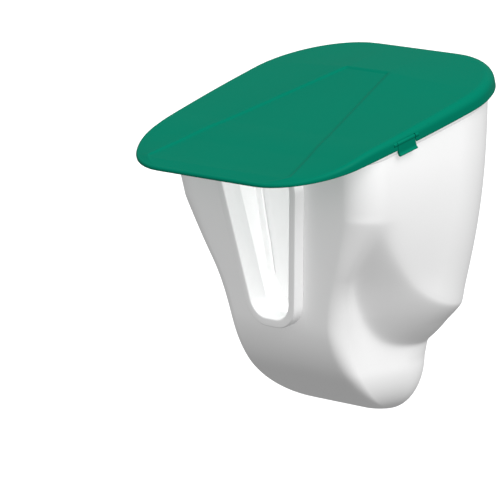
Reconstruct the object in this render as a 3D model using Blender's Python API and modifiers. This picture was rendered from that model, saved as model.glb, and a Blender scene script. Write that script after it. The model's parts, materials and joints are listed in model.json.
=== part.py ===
"""Wall-hung poultry feeder: a moulded hopper with a feeding port, a trough and a visor lid.

The origin is the centre of the wall bracket's back face. +Y points into the wall, +Z up, and the
feeder hangs on the -Y side with its port towards -Y.  All sizes are metres, all angles degrees.
"""
import math

import bmesh
import bpy
import numpy as np
from mathutils import Matrix, Vector

# Clearances
FIT = 0.0003            # between pieces that touch
RUNNING = 0.0004        # round pins and rods
SLIDING = 0.0008        # between the baffle's faces and its guides
BAFFLE_SIDE_GAP = 0.0025

# Wall bracket, a folded strip
BRACKET_WIDTH = 0.140
BRACKET_HEIGHT = 0.090
BRACKET_SHEET = 0.002
BRACKET_REACH = 0.019   # wall to the front of the upturned flange
BRACKET_FLANGE = 0.040  # height of the upturned flange
BRACKET_BEND = 0.003
SCREW_HOLE = 0.0055     # diameter
SCREW_SPACING = 0.110
SCREW_ROWS = (0.015, 0.035)

# Hinge line at the top of the back
HINGE_TO_WALL = 0.028
HINGE_TO_BODY = 0.009
HINGE_DROP = 0.006      # below the rim plane
KNUCKLE_RADIUS = 0.005
ROD_DIAMETER = 0.004
HINGE_CENTRES = 0.042   # each hinge from the middle
LID_KNUCKLE = 0.014
BODY_KNUCKLE = 0.006
KNUCKLE_GAP = 0.0006
KNUCKLE_LAP = 0.0005    # a lid knuckle's root stands this far outside the skirt
LUG_ROOT = 0.020        # height of a hinge lug where it meets the body
CLIP_RADIUS = 0.005
CLIP_THICKNESS = 0.0012
ROD_PROUD = 0.0015      # the rod's ends beyond the clips

# Hopper: plan at the rim, and how it narrows towards the shoulder
RIM_BACK_Z = 0.085      # rim plane above the bracket's middle, at the back
RIM_PITCH = 15.7
RIM_RISE = 0.0085       # wall above the rim plane, inside the lid
RIM_DEPTH = 0.270
RIM_FRONT_HALF = 0.1688
RIM_BACK_HALF = 0.1740
RIM_BOW = 0.0042         # how far the sides bulge half way along
RIM_FRONT_RADIUS = 0.0372
RIM_BACK_RADIUS = 0.1104
FRONT_LEAN = 0.162      # the front face runs back this much per unit of drop
FRONT_NARROWING = 0.0252
FRONT_NARROWING_DROP = 0.127
BACK_NARROWING = 0.0262
BACK_DRAFT = 0.0138
HOPPER_CURVE = 2.2      # power with which back and sides curve in as they fall
WALL = 0.003
CORNER_SHARE = 0.48     # a corner's radius takes no more than this of the body's depth

# Bead round the rim
BEAD_PROUD = 0.003
BEAD_BELOW = 0.006
BEAD_ABOVE = 0.002

# J-shaped shoulder between hopper and trough
SHOULDER_TOP_Z = -0.1872      # the ledge's upper edge, where the J levels out
SHOULDER_LOW_Z = -0.2340      # the ledge's lower edge there
SHOULDER_TOP_CLIMB = 0.1356   # how far each edge climbs towards the front face
SHOULDER_LOW_CLIMB = 0.1464
SHOULDER_TOP_RUN = 0.0888     # depth over which each edge falls away from the front
SHOULDER_LOW_RUN = 0.0612
SHOULDER_TOP_CURVE = 1.7      # powers of the two curves
SHOULDER_LOW_CURVE = 1.655
SHOULDER_LOW_LIMIT = -0.1356  # the lower edge levels out again here, at the front corner
SHOULDER_LIMIT_BLEND = 0.0144
SHOULDER_START = 0.0079       # behind the front face's top edge
SHOULDER_ROUNDING = 0.15      # share of the half band that its edges are rounded over
HIP_Z = -0.1404               # the front corner's soft hip, which turns into the ledge behind it
HIP_HALF_BAND = 0.0540
HIP_RUN = 0.042

# Trough
TROUGH_BOTTOM_Z = -0.3180
TROUGH_HALF = 0.0936
TROUGH_DRAFT = 0.04
TROUGH_RADIUS = 0.018         # plan radius of the front corners
TROUGH_BACK_RADIUS = 0.088
TROUGH_EDGE_INSET = 0.045     # the sides round into the floor over this width and height
TROUGH_EDGE_RISE = 0.060
TROUGH_FRONT_SWEEP = 0.1416
TROUGH_BACK_SWEEP = 0.0696    # the back rounds into the floor over this depth and height
TROUGH_BACK_RISE = 0.096

# Feeding port and its collar, measured down the front face from the rim plane
PORT_TOP = 0.024
PORT_SILL = 0.204
PORT_TOP_HALF = 0.0590
PORT_TAPER = 0.172
PORT_SILL_RADIUS = 0.024
PORT_TOP_RADIUS = 0.016
COLLAR_WIDTH = 0.0113
COLLAR_PROUD = 0.0144
COLLAR_WALL = 0.003
COLLAR_INNER_ROLL = 0.0022  # radii of the lip's rolled edges
COLLAR_OUTER_ROLL = 0.0016
COLLAR_INSIDE = 0.008   # how far the sleeve stands inside the body

# Feed baffle and its guides
BAFFLE_FROM_BACK = 0.113
BAFFLE_THICKNESS = 0.0025
BAFFLE_TOP_Z = 0.022
BAFFLE_FLOOR_GAP = 0.050
BAFFLE_LIP = 0.009
BAFFLE_CORNER = 0.012
GRIP_WIDTH = 0.090
GRIP_HEIGHT = 0.024
GRIP_BELOW_TOP = 0.014
GUIDE_DEPTH = 0.010
GUIDE_THICKNESS = 0.003
GUIDE_BELOW_RIM = 0.012

# Lid, in its own plane: length from the back edge to the tip of the visor
LID_WALL = 0.003
LID_OVERHANG = 0.0072   # beside and behind the body
LID_VISOR = 0.092       # beyond the body's front, along the plane
LID_TIP_TUCK = 0.0044   # the tip is narrower than the rim's front by this at each side
LID_BACK_MARGIN = 0.0060  # the lid's back is wider than the rim by this at each side
LID_SIDE_MARGIN = 0.0060  # further bulge of the lid's sides, outside the rim's
LID_FRONT_RADIUS = 0.084
LID_BACK_RADIUS = 0.1140
LID_EDGE_FILLET = 0.004  # at the front; it grows to LID_BACK_FILLET
LID_BACK_FILLET = 0.013
SKIRT_HEIGHT = 0.015     # behind the nose; it grows to SKIRT_BACK_HEIGHT
SKIRT_BACK_HEIGHT = 0.021
CROWN_STRIPS = 8         # across the flat facet, and across each side of it
NOSE_HEIGHT = 0.0045
NOSE_BLEND = 0.120      # how far back the thin nose grows to the full skirt
CREASE_FRONT_HALF = 0.120
CREASE_FRONT_BACKSET = 0.019
CREASE_FRONT_HEIGHT = 0.0074
CREASE_SHARE = 0.87      # the creases stay within this share of the lid's half width
RIDGE_HALF = 0.0354
RIDGE_BACKSET = 0.285   # behind the tip
RIDGE_HEIGHT = 0.0265

# Side latches
LATCH_WIDTH = 0.028
LATCH_BACKSET = 0.157   # behind the tip
LATCH_HANG = 0.008      # below the skirt
LATCH_THICKNESS = 0.003
LATCH_PIVOT_HEIGHT = 0.0075
LATCH_BARREL_RADIUS = 0.0026
LATCH_PIN_DIAMETER = 0.002
LATCH_SIDE_GAP = 0.0006
LATCH_BOSS = 0.005      # length of the pin's seat at each side
SEAT_BACKSETS = (0.196, 0.250)
SEAT_THICKNESS = 0.0025
LATCH_RIDGE_HEIGHT = 0.004  # at the leaf; it tapers to LATCH_RIDGE_TIP
LATCH_RIDGE_TIP = 0.0016
LATCH_CHAMFER = 0.001
LATCH_TOE = 0.0018      # how far the finger edge at the bottom stands out
LATCH_TOE_HEIGHT = 0.004

# Hanging lugs and wall stand-offs on the body's back
LUG_CENTRES = 0.045
LUG_WIDTH = 0.024
LUG_HEIGHT = 0.028
LUG_LEG = 0.0035
LUG_SLOT_DEPTH = 0.022
LUG_GUSSET = 0.008      # how far a lug spreads where it meets the body
LUG_CHAMFER = 0.003
FOOT_Z = -0.150
FOOT_HEIGHT = 0.030
FOOT_THICKNESS = 0.004

# Worked out from the sizes above
Y_BACK = -(HINGE_TO_WALL + HINGE_TO_BODY)
Y_FRONT = Y_BACK - RIM_DEPTH
SLOPE = math.tan(math.radians(RIM_PITCH))
RIM_FRONT_Z = RIM_BACK_Z - RIM_DEPTH * SLOPE
LEAN = math.atan(FRONT_LEAN)
FRONT_CENTRE_Z = TROUGH_BOTTOM_Z + TROUGH_FRONT_SWEEP
BACK_CENTRE_Z = TROUGH_BOTTOM_Z + TROUGH_BACK_RISE
SWEEP_RISE = (FRONT_CENTRE_Z - RIM_FRONT_Z) * math.sin(LEAN)
SWEEP_Y = Y_FRONT + (TROUGH_FRONT_SWEEP - SWEEP_RISE) / math.cos(LEAN)
SWEEP_TOP_Z = FRONT_CENTRE_Z - TROUGH_FRONT_SWEEP * math.sin(LEAN)
HOPPER_DROP = RIM_BACK_Z - SHOULDER_TOP_Z
FURTHEST_FALL = 1.25    # the hopper's curves run on this far below the ledge's upper edge
LID_FRONT_HALF = RIM_FRONT_HALF - LID_TIP_TUCK
LID_BACK_HALF = RIM_BACK_HALF + LID_BACK_MARGIN
LID_BOW = RIM_BOW + LID_SIDE_MARGIN
LID_LENGTH = (RIM_DEPTH + LID_OVERHANG) / math.cos(math.radians(RIM_PITCH)) + LID_VISOR


def rim_z(y):
    """Height of the inclined rim plane at a depth y."""
    return RIM_BACK_Z + (y - Y_BACK) * SLOPE


def smooth(t):
    """0 below -1, 1 above +1, and an S-curve between."""
    t = np.clip(0.5 + 0.5 * np.asarray(t, float), 0.0, 1.0)
    return t * t * (3.0 - 2.0 * t)


def ledge_step(t):
    """0 below -1, 1 above +1, and a straight line between whose two ends are rounded."""
    above, below = np.hypot(t + 1.0, SHOULDER_ROUNDING), np.hypot(t - 1.0, SHOULDER_ROUNDING)
    return 0.5 + 0.25 * (above - below)


def front_y(z):
    """Front face: a leaning line, then the trough's front sweep."""
    line = Y_FRONT + FRONT_LEAN * (RIM_FRONT_Z - z)
    drop = np.clip(FRONT_CENTRE_Z - z, 0.0, TROUGH_FRONT_SWEEP)
    arc = SWEEP_Y - np.sqrt(TROUGH_FRONT_SWEEP ** 2 - drop ** 2)
    return np.where(z > SWEEP_TOP_Z, line, arc)


def back_y(z):
    """Back face: the hopper's drafted back, the shoulder, then the trough's back sweep."""
    drop = np.clip((BACK_CENTRE_Z - z) / TROUGH_BACK_RISE, 0.0, 1.0)
    trough = SWEEP_Y + TROUGH_BACK_SWEEP * np.sqrt(1.0 - drop ** 2)
    fallen = np.clip((RIM_BACK_Z - z) / HOPPER_DROP, 0.0, FURTHEST_FALL)
    hopper = Y_BACK - BACK_DRAFT * fallen ** HOPPER_CURVE
    middle, band = shoulder(Y_BACK)
    return trough + (hopper - trough) * ledge_step((z - middle) / band)


def shoulder(y):
    """Height of the J's middle line at a depth, and half the height of its band there.

    Each edge of the band falls from its climb at the front face towards its level at the back, and
    the lower edge is held softly below its limit."""
    depth = np.maximum(y - Y_FRONT - SHOULDER_START, 0.0)
    top_fall = np.exp(-(depth / SHOULDER_TOP_RUN) ** SHOULDER_TOP_CURVE)
    low_fall = np.exp(-(depth / SHOULDER_LOW_RUN) ** SHOULDER_LOW_CURVE)
    top = SHOULDER_TOP_Z + SHOULDER_TOP_CLIMB * top_fall
    low = SHOULDER_LOW_Z + SHOULDER_LOW_CLIMB * low_fall
    low = 0.5 * (low + SHOULDER_LOW_LIMIT - np.hypot(low - SHOULDER_LOW_LIMIT, SHOULDER_LIMIT_BLEND))
    return 0.5 * (top + low), 0.5 * (top - low)


def shoulder_step(y, z):
    """Share of the hopper's width that the body has at a depth and height: 0 on the trough, 1 above.

    The front corner has a soft hip, and the straight slope of the ledge takes over behind it."""
    middle, band = shoulder(y)
    ledge = ledge_step((z - middle) / band)
    hip = smooth((z - HIP_Z) / HIP_HALF_BAND)
    depth = np.maximum(y - Y_FRONT - SHOULDER_START, 0.0)
    return ledge + (hip - ledge) * np.exp(-(depth / HIP_RUN) ** 3)


def half_width(y, z):
    """Half width of the body at a depth and a height, before the corners are rounded."""
    fallen = np.clip((RIM_BACK_Z - z) / HOPPER_DROP, 0.0, FURTHEST_FALL)
    front_fall = np.clip((RIM_FRONT_Z - z) / FRONT_NARROWING_DROP, 0.0, FURTHEST_FALL)
    at_front = RIM_FRONT_HALF - FRONT_NARROWING * front_fall ** 2
    at_back = RIM_BACK_HALF - BACK_NARROWING * fallen ** HOPPER_CURVE
    along = np.clip((y - Y_FRONT) / RIM_DEPTH, 0.0, 1.0)
    hopper = at_front + (at_back - at_front) * along + RIM_BOW * np.sin(math.pi * along)
    trough = TROUGH_HALF - TROUGH_DRAFT * np.maximum(SHOULDER_TOP_Z - z, 0.0)
    width = trough + (hopper - trough) * shoulder_step(y, z)
    left = np.clip((z - TROUGH_BOTTOM_Z) / TROUGH_EDGE_RISE, 0.0, 1.0)
    return width - TROUGH_EDGE_INSET * (1.0 - np.sqrt(1.0 - (1.0 - left) ** 2))


def corner_radii(z, depth):
    """Plan radii of the front and back corners at a height, kept within half the depth."""
    front_middle, front_band = shoulder(Y_FRONT)
    upper = smooth((z - front_middle) / front_band)
    front = TROUGH_RADIUS + (RIM_FRONT_RADIUS - TROUGH_RADIUS) * upper
    back_middle, back_band = shoulder(Y_BACK)
    upper = smooth((z - back_middle) / back_band)
    back = TROUGH_BACK_RADIUS + (RIM_BACK_RADIUS - TROUGH_BACK_RADIUS) * upper
    return np.minimum(front, CORNER_SHARE * depth), np.minimum(back, CORNER_SHARE * depth)


def half_section(height_at, offset=0.0, count=30):
    """Half of the plan outline, from the front's middle to the back's middle.

    height_at gives z for an array of y, so the outline may lie in an inclined plane. The points are
    spread evenly along the outline, with more of them where it turns."""
    part = np.concatenate([np.full(12, 0), np.full(24, 1), np.full(70, 2), np.full(24, 3), np.full(12, 4)])
    t = np.concatenate([np.linspace(0, 1, n, endpoint=n == 12 and last) for n, last in
                        ((12, False), (24, False), (70, False), (24, False), (12, True))])
    y = np.linspace(Y_FRONT, Y_BACK, part.size)
    x = np.zeros(part.size)
    for _ in range(6):
        z = height_at(y)
        near, far = front_y(z), back_y(z)
        rf, rb = corner_radii(z, far - near)
        turn = t * math.pi / 2
        y = np.select([part == 0, part == 1, part == 2, part == 3], [
            near, near + rf * (1 - np.cos(turn)), near + rf + (far - near - rf - rb) * t,
            far - rb * (1 - np.sin(turn))], far)
        wide = half_width(y, z)
        x = np.select([part == 0, part == 1, part == 2, part == 3], [
            (wide - rf) * t, wide - rf * (1 - np.sin(turn)), wide,
            wide - rb * (1 - np.cos(turn))], (wide - rb) * (1 - t))
    z = height_at(y)
    if offset:
        dx, dy = np.gradient(x), np.gradient(y)
        size = np.hypot(dx, dy) + 1e-12
        x = np.where(np.arange(x.size) % (x.size - 1) == 0, 0.0, x + offset * dy / size)
        y = y - offset * dx / size
    step = np.hypot(np.diff(x), np.diff(y))
    heading = np.unwrap(np.arctan2(np.diff(y), np.diff(x)))
    bend = np.abs(np.diff(heading, prepend=heading[0]))
    run = np.concatenate([[0.0], np.cumsum(step + 0.05 * bend)])
    want = np.linspace(0.0, run[-1], count + 1)
    return np.column_stack([np.interp(want, run, x), np.interp(want, run, y), np.interp(want, run, z)])


def new_object(name, mesh, collection):
    """Add a mesh to a collection as a named object."""
    obj = bpy.data.objects.new(name, mesh)
    collection.objects.link(obj)
    return obj


def bmesh_object(name, bm, collection):
    """Turn a bmesh into a named object."""
    mesh = bpy.data.meshes.new(name)
    bm.normal_update()
    bmesh.ops.recalc_face_normals(bm, faces=bm.faces)
    bm.to_mesh(mesh)
    bm.free()
    return new_object(name, mesh, collection)


def material(name, colour, roughness, metallic=0.0):
    """A plain Principled material."""
    mat = bpy.data.materials.new(name)
    mat.use_nodes = True
    shader = mat.node_tree.nodes["Principled BSDF"]
    shader.inputs["Base Color"].default_value = (*colour, 1.0)
    shader.inputs["Roughness"].default_value = roughness
    shader.inputs["Metallic"].default_value = metallic
    return mat


def finish(obj, mat, angle=32.0):
    """Give an object its material and shade it smooth up to an edge angle."""
    obj.data.materials.clear()
    obj.data.materials.append(mat)
    obj.data.shade_smooth()
    obj.data.set_sharp_from_angle(angle=math.radians(angle))
    return obj


def boolean(target, tool, operation):
    """Add an exact Boolean modifier."""
    mod = target.modifiers.new(operation.title(), "BOOLEAN")
    mod.operation = operation
    mod.solver = "EXACT"
    mod.object = tool
    tool.hide_render = True
    tool.display_type = "WIRE"


def box(name, low, high, collection, matrix=None):
    """An axis-aligned box between two corners, optionally carried by a matrix."""
    bm = bmesh.new()
    bmesh.ops.create_cube(bm, size=1.0)
    low, high = Vector(low), Vector(high)
    bmesh.ops.scale(bm, vec=high - low, verts=bm.verts)
    bmesh.ops.translate(bm, vec=(low + high) / 2, verts=bm.verts)
    if matrix is not None:
        bm.transform(matrix)
    return bmesh_object(name, bm, collection)


def rod(name, start, end, radius, collection, segments=20):
    """A round bar between two points."""
    start, end = Vector(start), Vector(end)
    bm = bmesh.new()
    turn = (end - start).to_track_quat("Z", "Y").to_matrix().to_4x4()
    bmesh.ops.create_cone(bm, cap_ends=True, segments=segments, radius1=radius, radius2=radius,
                          depth=(end - start).length,
                          matrix=Matrix.Translation((start + end) / 2) @ turn)
    return bmesh_object(name, bm, collection)


def prism(name, outline, along, collection, matrix=None):
    """A flat outline of 3D points pushed along a vector."""
    bm = bmesh.new()
    face = bm.faces.new([bm.verts.new(p) for p in outline])
    made = bmesh.ops.extrude_face_region(bm, geom=[face])["geom"]
    bmesh.ops.translate(bm, vec=along, verts=[v for v in made if isinstance(v, bmesh.types.BMVert)])
    if matrix is not None:
        bm.transform(matrix)
    return bmesh_object(name, bm, collection)


def loft(bm, rows, closed=True):
    """Skin a list of point rows of equal length and return the rows of vertices."""
    verts = [[bm.verts.new(p) for p in row] for row in rows]
    for upper, lower in zip(verts, verts[1:]):
        last = len(upper) if closed else len(upper) - 1
        for i in range(last):
            j = (i + 1) % len(upper)
            bm.faces.new((upper[i], lower[i], lower[j], upper[j]))
    return verts


def full_ring(half):
    """Mirror a half outline into a closed ring without doubled end points."""
    other = half[-2:0:-1] * np.array([-1.0, 1.0, 1.0])
    return np.vstack([half, other])


def body_levels():
    """Functions that give each row's height: down the hopper, round the J, then to the floor."""
    bend_end = 1.0 + SHOULDER_ROUNDING
    floor = BACK_CENTRE_Z - TROUGH_BACK_RISE * np.cos(np.radians((72, 60, 48, 37, 27, 17, 8)))

    def hopper(share):
        def height(y):
            middle, band = shoulder(y)
            top = rim_z(y) + RIM_RISE
            return top + (middle + bend_end * band - top) * share
        return height

    def bend(share):
        return lambda y: shoulder(y)[0] + shoulder(y)[1] * share

    def trough(share):
        return lambda y: bend(-bend_end)(y) + (floor[0] - bend(-bend_end)(y)) * share

    rows = [hopper(share) for share in (0.0, 0.1, 0.3, 0.5, 0.7, 0.86)]
    shares = np.array((1.0, 0.8, 0.4, 0.0, -0.4, -0.7, -0.85, -1.0))
    rows += [bend(share) for share in bend_end * shares]
    rows += [trough(share) for share in (0.25, 0.5, 0.75)]
    return rows + [(lambda y, z=z: np.full_like(y, z)) for z in floor]


def body_shell(collection):
    """The open hopper and trough surface, thickened inwards."""
    bm = bmesh.new()
    rows = loft(bm, [full_ring(half_section(level)) for level in body_levels()])
    bottom = rows[-1]
    half = len(bottom) // 2
    for i in range(-half // 2, half // 2):
        strip = [bottom[i], bottom[i + 1], bottom[half - i - 1], bottom[half - i]]
        corners = [v for k, v in enumerate(strip) if v is not strip[k - 1]]
        bm.faces.new(corners)
    shell = bmesh_object("hopper_body", bm, collection)
    mod = shell.modifiers.new("Wall", "SOLIDIFY")
    mod.thickness = WALL
    mod.offset = -1.0
    mod.use_even_offset = True
    return shell


def ring_solid(name, outer, inner, tops, bottoms, collection):
    """A closed ring between an outer and an inner outline, with heights for top and bottom."""
    bm = bmesh.new()
    corners = []
    for points, shift in ((outer, tops), (inner, tops), (inner, bottoms), (outer, bottoms)):
        corners.append([bm.verts.new((p[0], p[1], p[2] + shift)) for p in points])
    count = len(outer)
    for a, b in zip(corners, corners[1:] + corners[:1]):
        for i in range(count):
            j = (i + 1) % count
            bm.faces.new((a[i], b[i], b[j], a[j]))
    return bmesh_object(name, bm, collection)


def port_outline(offset=0.0, arc=6):
    """The port's outline in the front face: (across, down) pairs, clockwise from the top left.

    A trapezoid that narrows downwards by PORT_TAPER, with rounded corners; offset grows it."""
    angle = math.atan(PORT_TAPER)
    top, sill = PORT_TOP - offset, PORT_SILL + offset
    grow = offset / math.cos(angle)

    def half(down):
        return PORT_TOP_HALF + grow - PORT_TAPER * (down - PORT_TOP)

    r_top, r_sill = PORT_TOP_RADIUS + offset, PORT_SILL_RADIUS + offset
    top_centre = (half(top + r_top) - r_top / math.cos(angle), top + r_top)
    sill_centre = (half(sill - r_sill) - r_sill / math.cos(angle), sill - r_sill)
    right = []
    for centre, radius, start, stop in ((top_centre, r_top, -0.5 * math.pi, angle),
                                        (sill_centre, r_sill, angle, 0.5 * math.pi)):
        for a in np.linspace(start, stop, arc + 1):
            right.append((centre[0] + radius * math.cos(a), centre[1] + radius * math.sin(a)))
    return right + [(-x, down) for x, down in reversed(right)]


def face_frame():
    """Matrix of the front face: X across, Y out of the face, Z up along it, origin at the rim plane."""
    up = Vector((0.0, -math.sin(LEAN), math.cos(LEAN)))
    out = Vector((0.0, -math.cos(LEAN), -math.sin(LEAN)))
    across = Vector((1.0, 0.0, 0.0))
    frame = Matrix((across, out, up)).transposed().to_4x4()
    return Matrix.Translation((0.0, Y_FRONT, RIM_FRONT_Z)) @ frame


def port_loft(name, profile, collection):
    """Carry a closed profile of (offset, out) pairs round the port's outline."""
    rings = [[(x, out, -down) for x, down in port_outline(offset)] for offset, out in profile]
    bm = bmesh.new()
    loft(bm, rings + rings[:1])
    bmesh.ops.remove_doubles(bm, verts=bm.verts, dist=1e-6)
    bm.transform(face_frame())
    return bmesh_object(name, bm, collection)


def guide_edge(y, z):
    """Half width of the wall's inside face, allowing for the wall's slope on the shoulder."""
    step = 0.001
    here, above = (float(half_width(np.array(y), np.array(z + k * step))) for k in (-1, 1))
    slope = (above - here) / (2 * step)
    return float(half_width(np.array(y), np.array(z))) - WALL * math.hypot(1.0, slope)


def side_outline(y, top, bottom, inset, count=14):
    """Points down the inside of a side wall at a depth y, moved in by inset."""
    return [(guide_edge(y, z) - inset, y, z) for z in np.linspace(top, bottom, count)]


def baffle_y():
    """Depth of the baffle's middle plane."""
    return Y_BACK - BAFFLE_FROM_BACK


def body_extras(collection, cutters):
    """Rim bead, hinge lugs, hanging lugs, stand-off fins and baffle guides, as tools for a union."""
    tools = []
    outer = full_ring(half_section(rim_z, BEAD_PROUD))
    inner = full_ring(half_section(rim_z, -0.5 * WALL))
    tools.append(ring_solid("rim_bead", outer, inner, BEAD_ABOVE, -BEAD_BELOW, cutters))
    axis_y, axis_z = hinge_axis()
    for side in (-1, 1):
        for edge in (-1, 1):
            middle = side * HINGE_CENTRES + edge * (0.5 * LID_KNUCKLE + KNUCKLE_GAP + 0.5 * BODY_KNUCKLE)
            left, right = middle - 0.5 * BODY_KNUCKLE, middle + 0.5 * BODY_KNUCKLE
            outline = [(left, axis_y + KNUCKLE_RADIUS * math.cos(a), axis_z + KNUCKLE_RADIUS * math.sin(a))
                       for a in np.radians(np.linspace(-100, 90, 12))]
            outline += [(left, Y_BACK - 0.5 * WALL, axis_z), (left, Y_BACK - 0.5 * WALL, axis_z - LUG_ROOT)]
            tools.append(prism("hinge_lug", outline, (right - left, 0, 0), cutters))
        left = side * LUG_CENTRES - 0.5 * LUG_WIDTH
        flange_top = -0.5 * BRACKET_HEIGHT + BRACKET_FLANGE
        lug_top = flange_top + FIT + (LUG_HEIGHT - LUG_SLOT_DEPTH)
        lug_back = -(BRACKET_REACH - BRACKET_SHEET) + FIT + LUG_LEG
        wall_y = float(back_y(np.array(flange_top))) - 0.5 * WALL
        outline = [(left, wall_y, lug_top + LUG_GUSSET), (left, lug_back - LUG_CHAMFER, lug_top),
                   (left, lug_back, lug_top - LUG_CHAMFER), (left, lug_back, lug_top - LUG_HEIGHT),
                   (left, wall_y, lug_top - LUG_HEIGHT - LUG_GUSSET)]
        tools.append(prism("hanging_lug", outline, (LUG_WIDTH, 0, 0), cutters))
        left = side * LUG_CENTRES - 0.5 * FOOT_THICKNESS
        foot_y = float(back_y(np.array(FOOT_Z))) - 0.5 * WALL
        outline = [(left, foot_y, FOOT_Z + FOOT_HEIGHT), (left, -FIT, FOOT_Z + 0.25 * FOOT_HEIGHT),
                   (left, -FIT, FOOT_Z - 0.25 * FOOT_HEIGHT), (left, foot_y, FOOT_Z - 0.8 * FOOT_HEIGHT)]
        tools.append(prism("stand_off", outline, (FOOT_THICKNESS, 0, 0), cutters))
        for edge in (-1, 1):
            y = baffle_y() + edge * (0.5 * BAFFLE_THICKNESS + SLIDING + 0.5 * GUIDE_THICKNESS)
            top = rim_z(baffle_y()) - GUIDE_BELOW_RIM
            bottom = float(sum(shoulder(baffle_y())))
            root = side_outline(y, top, bottom, -0.5 * WALL)
            rail = side_outline(y, top, bottom, GUIDE_DEPTH)
            outline = [(side * px, py - 0.5 * GUIDE_THICKNESS, pz) for px, py, pz in root + rail[::-1]]
            tools.append(prism("guide", outline, (0, GUIDE_THICKNESS, 0), cutters))
    return tools


def body_cuts(cutters):
    """Port, rod bore and the slots that drop over the bracket."""
    cuts = []
    deep = 10 * WALL
    rings = [[(x, out, -down) for x, down in port_outline(COLLAR_WALL + FIT)] for out in (deep, -deep)]
    bm = bmesh.new()
    rows = loft(bm, rings)
    for row in rows:
        bm.faces.new(row)
    bm.transform(face_frame())
    cuts.append(bmesh_object("port_cut", bm, cutters))
    axis_y, axis_z = hinge_axis()
    reach = HINGE_CENTRES + LID_KNUCKLE + BODY_KNUCKLE
    cuts.append(rod("rod_bore", (-reach, axis_y, axis_z), (reach, axis_y, axis_z),
                    0.5 * ROD_DIAMETER + RUNNING, cutters))
    flange_top = -0.5 * BRACKET_HEIGHT + BRACKET_FLANGE
    for side in (-1, 1):
        low = (side * LUG_CENTRES - LUG_WIDTH, -BRACKET_REACH - FIT, flange_top - 2 * LUG_HEIGHT)
        high = (side * LUG_CENTRES + LUG_WIDTH, -BRACKET_REACH + BRACKET_SHEET + FIT, flange_top + FIT)
        cuts.append(box("lug_slot", low, high, cutters))
    return cuts


def hopper_body(collection, cutters, mat):
    """The moulded body."""
    body = body_shell(collection)
    for tool in body_extras(collection, cutters):
        boolean(body, tool, "UNION")
    for tool in body_cuts(cutters):
        boolean(body, tool, "DIFFERENCE")
    return finish(body, mat)


def port_collar(collection, mat):
    """The raised lip: a rolled front edge, an outer skirt that meets the face, and an inner sleeve."""
    def rolled(centre, radius, start, stop):
        return [(centre + radius * math.cos(a), COLLAR_PROUD - radius + radius * math.sin(a))
                for a in np.radians(np.linspace(start, stop, 4))]

    inside = -(WALL + COLLAR_INSIDE)
    profile = [(0.0, inside)] + rolled(COLLAR_INNER_ROLL, COLLAR_INNER_ROLL, 180, 90)
    profile += rolled(COLLAR_WIDTH - COLLAR_OUTER_ROLL, COLLAR_OUTER_ROLL, 90, 0)
    profile += [(COLLAR_WIDTH, FIT), (COLLAR_WIDTH - COLLAR_WALL, FIT),
                (COLLAR_WIDTH - COLLAR_WALL, COLLAR_PROUD - COLLAR_WALL),
                (COLLAR_WALL, COLLAR_PROUD - COLLAR_WALL), (COLLAR_WALL, inside)]
    collar = port_loft("port_collar", profile, collection)
    return finish(collar, mat)


def feed_baffle(collection, cutters, mat):
    """The plate that parts the feed store from the head space; it lifts in its guides."""
    y = baffle_y()
    front = y - 0.5 * BAFFLE_THICKNESS
    drop = min(FRONT_CENTRE_Z, TROUGH_BOTTOM_Z + WALL + BAFFLE_FLOOR_GAP)
    edge = side_outline(front, BAFFLE_TOP_Z, drop, BAFFLE_SIDE_GAP, 30)
    low = [p for p in edge if p[0] > 0]
    corner = low.pop()
    for a in np.radians(np.linspace(0, -90, 4)):
        low.append((corner[0] - BAFFLE_CORNER * (1 - math.cos(a)), corner[1],
                    corner[2] + BAFFLE_CORNER * (1 + math.sin(a))))
    outline = low + [(-px, py, pz) for px, py, pz in reversed(low)]
    plate = prism("feed_baffle", outline, (0, BAFFLE_THICKNESS, 0), collection)
    span = guide_edge(y, BAFFLE_TOP_Z) - GUIDE_DEPTH - 2 * BAFFLE_SIDE_GAP
    lip = box("baffle_lip", (-span, front - BAFFLE_LIP, BAFFLE_TOP_Z - BAFFLE_THICKNESS),
              (span, front + 0.5 * BAFFLE_THICKNESS, BAFFLE_TOP_Z), cutters)
    boolean(plate, lip, "UNION")
    middle = BAFFLE_TOP_Z - GRIP_BELOW_TOP - 0.5 * GRIP_HEIGHT
    slot = []
    for centre, start in ((1, -90), (-1, 90)):
        for a in np.radians(np.linspace(start, start + 180, 9)):
            slot.append((centre * 0.5 * (GRIP_WIDTH - GRIP_HEIGHT) + 0.5 * GRIP_HEIGHT * math.cos(a),
                         front - BAFFLE_THICKNESS, middle + 0.5 * GRIP_HEIGHT * math.sin(a)))
    boolean(plate, prism("grip_cut", slot, (0, 3 * BAFFLE_THICKNESS, 0), cutters), "DIFFERENCE")
    return finish(plate, mat)


def hinge_axis():
    """Depth and height of the lid's hinge axis."""
    return -HINGE_TO_WALL, rim_z(-HINGE_TO_WALL) - HINGE_DROP


def lid_frame():
    """Matrix of the lid: X along the hinge rod, Y up the slope to the wall, Z out of the lid's plane."""
    turn = Matrix.Rotation(math.radians(RIM_PITCH), 4, "X")
    return Matrix.Translation((0.0, *hinge_axis())) @ turn


def lid_datum():
    """Place of the skirt's lower back edge in the lid's own frame: (towards the wall, out of plane)."""
    y = Y_BACK + LID_OVERHANG
    point = lid_frame().inverted() @ Vector((0.0, y, rim_z(y)))
    return point.y, point.z


def lid_place(points):
    """Move (x, from the tip, above the skirt) points into the lid's own frame."""
    back, base = lid_datum()
    return np.asarray(points, float) + np.array([0.0, back - LID_LENGTH, base])


def lid_half(back):
    """Half width of the lid's sharp-cornered plan at a distance from the tip."""
    share = back / LID_LENGTH
    return LID_FRONT_HALF + (LID_BACK_HALF - LID_FRONT_HALF) * share + LID_BOW * np.sin(math.pi * share)


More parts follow.
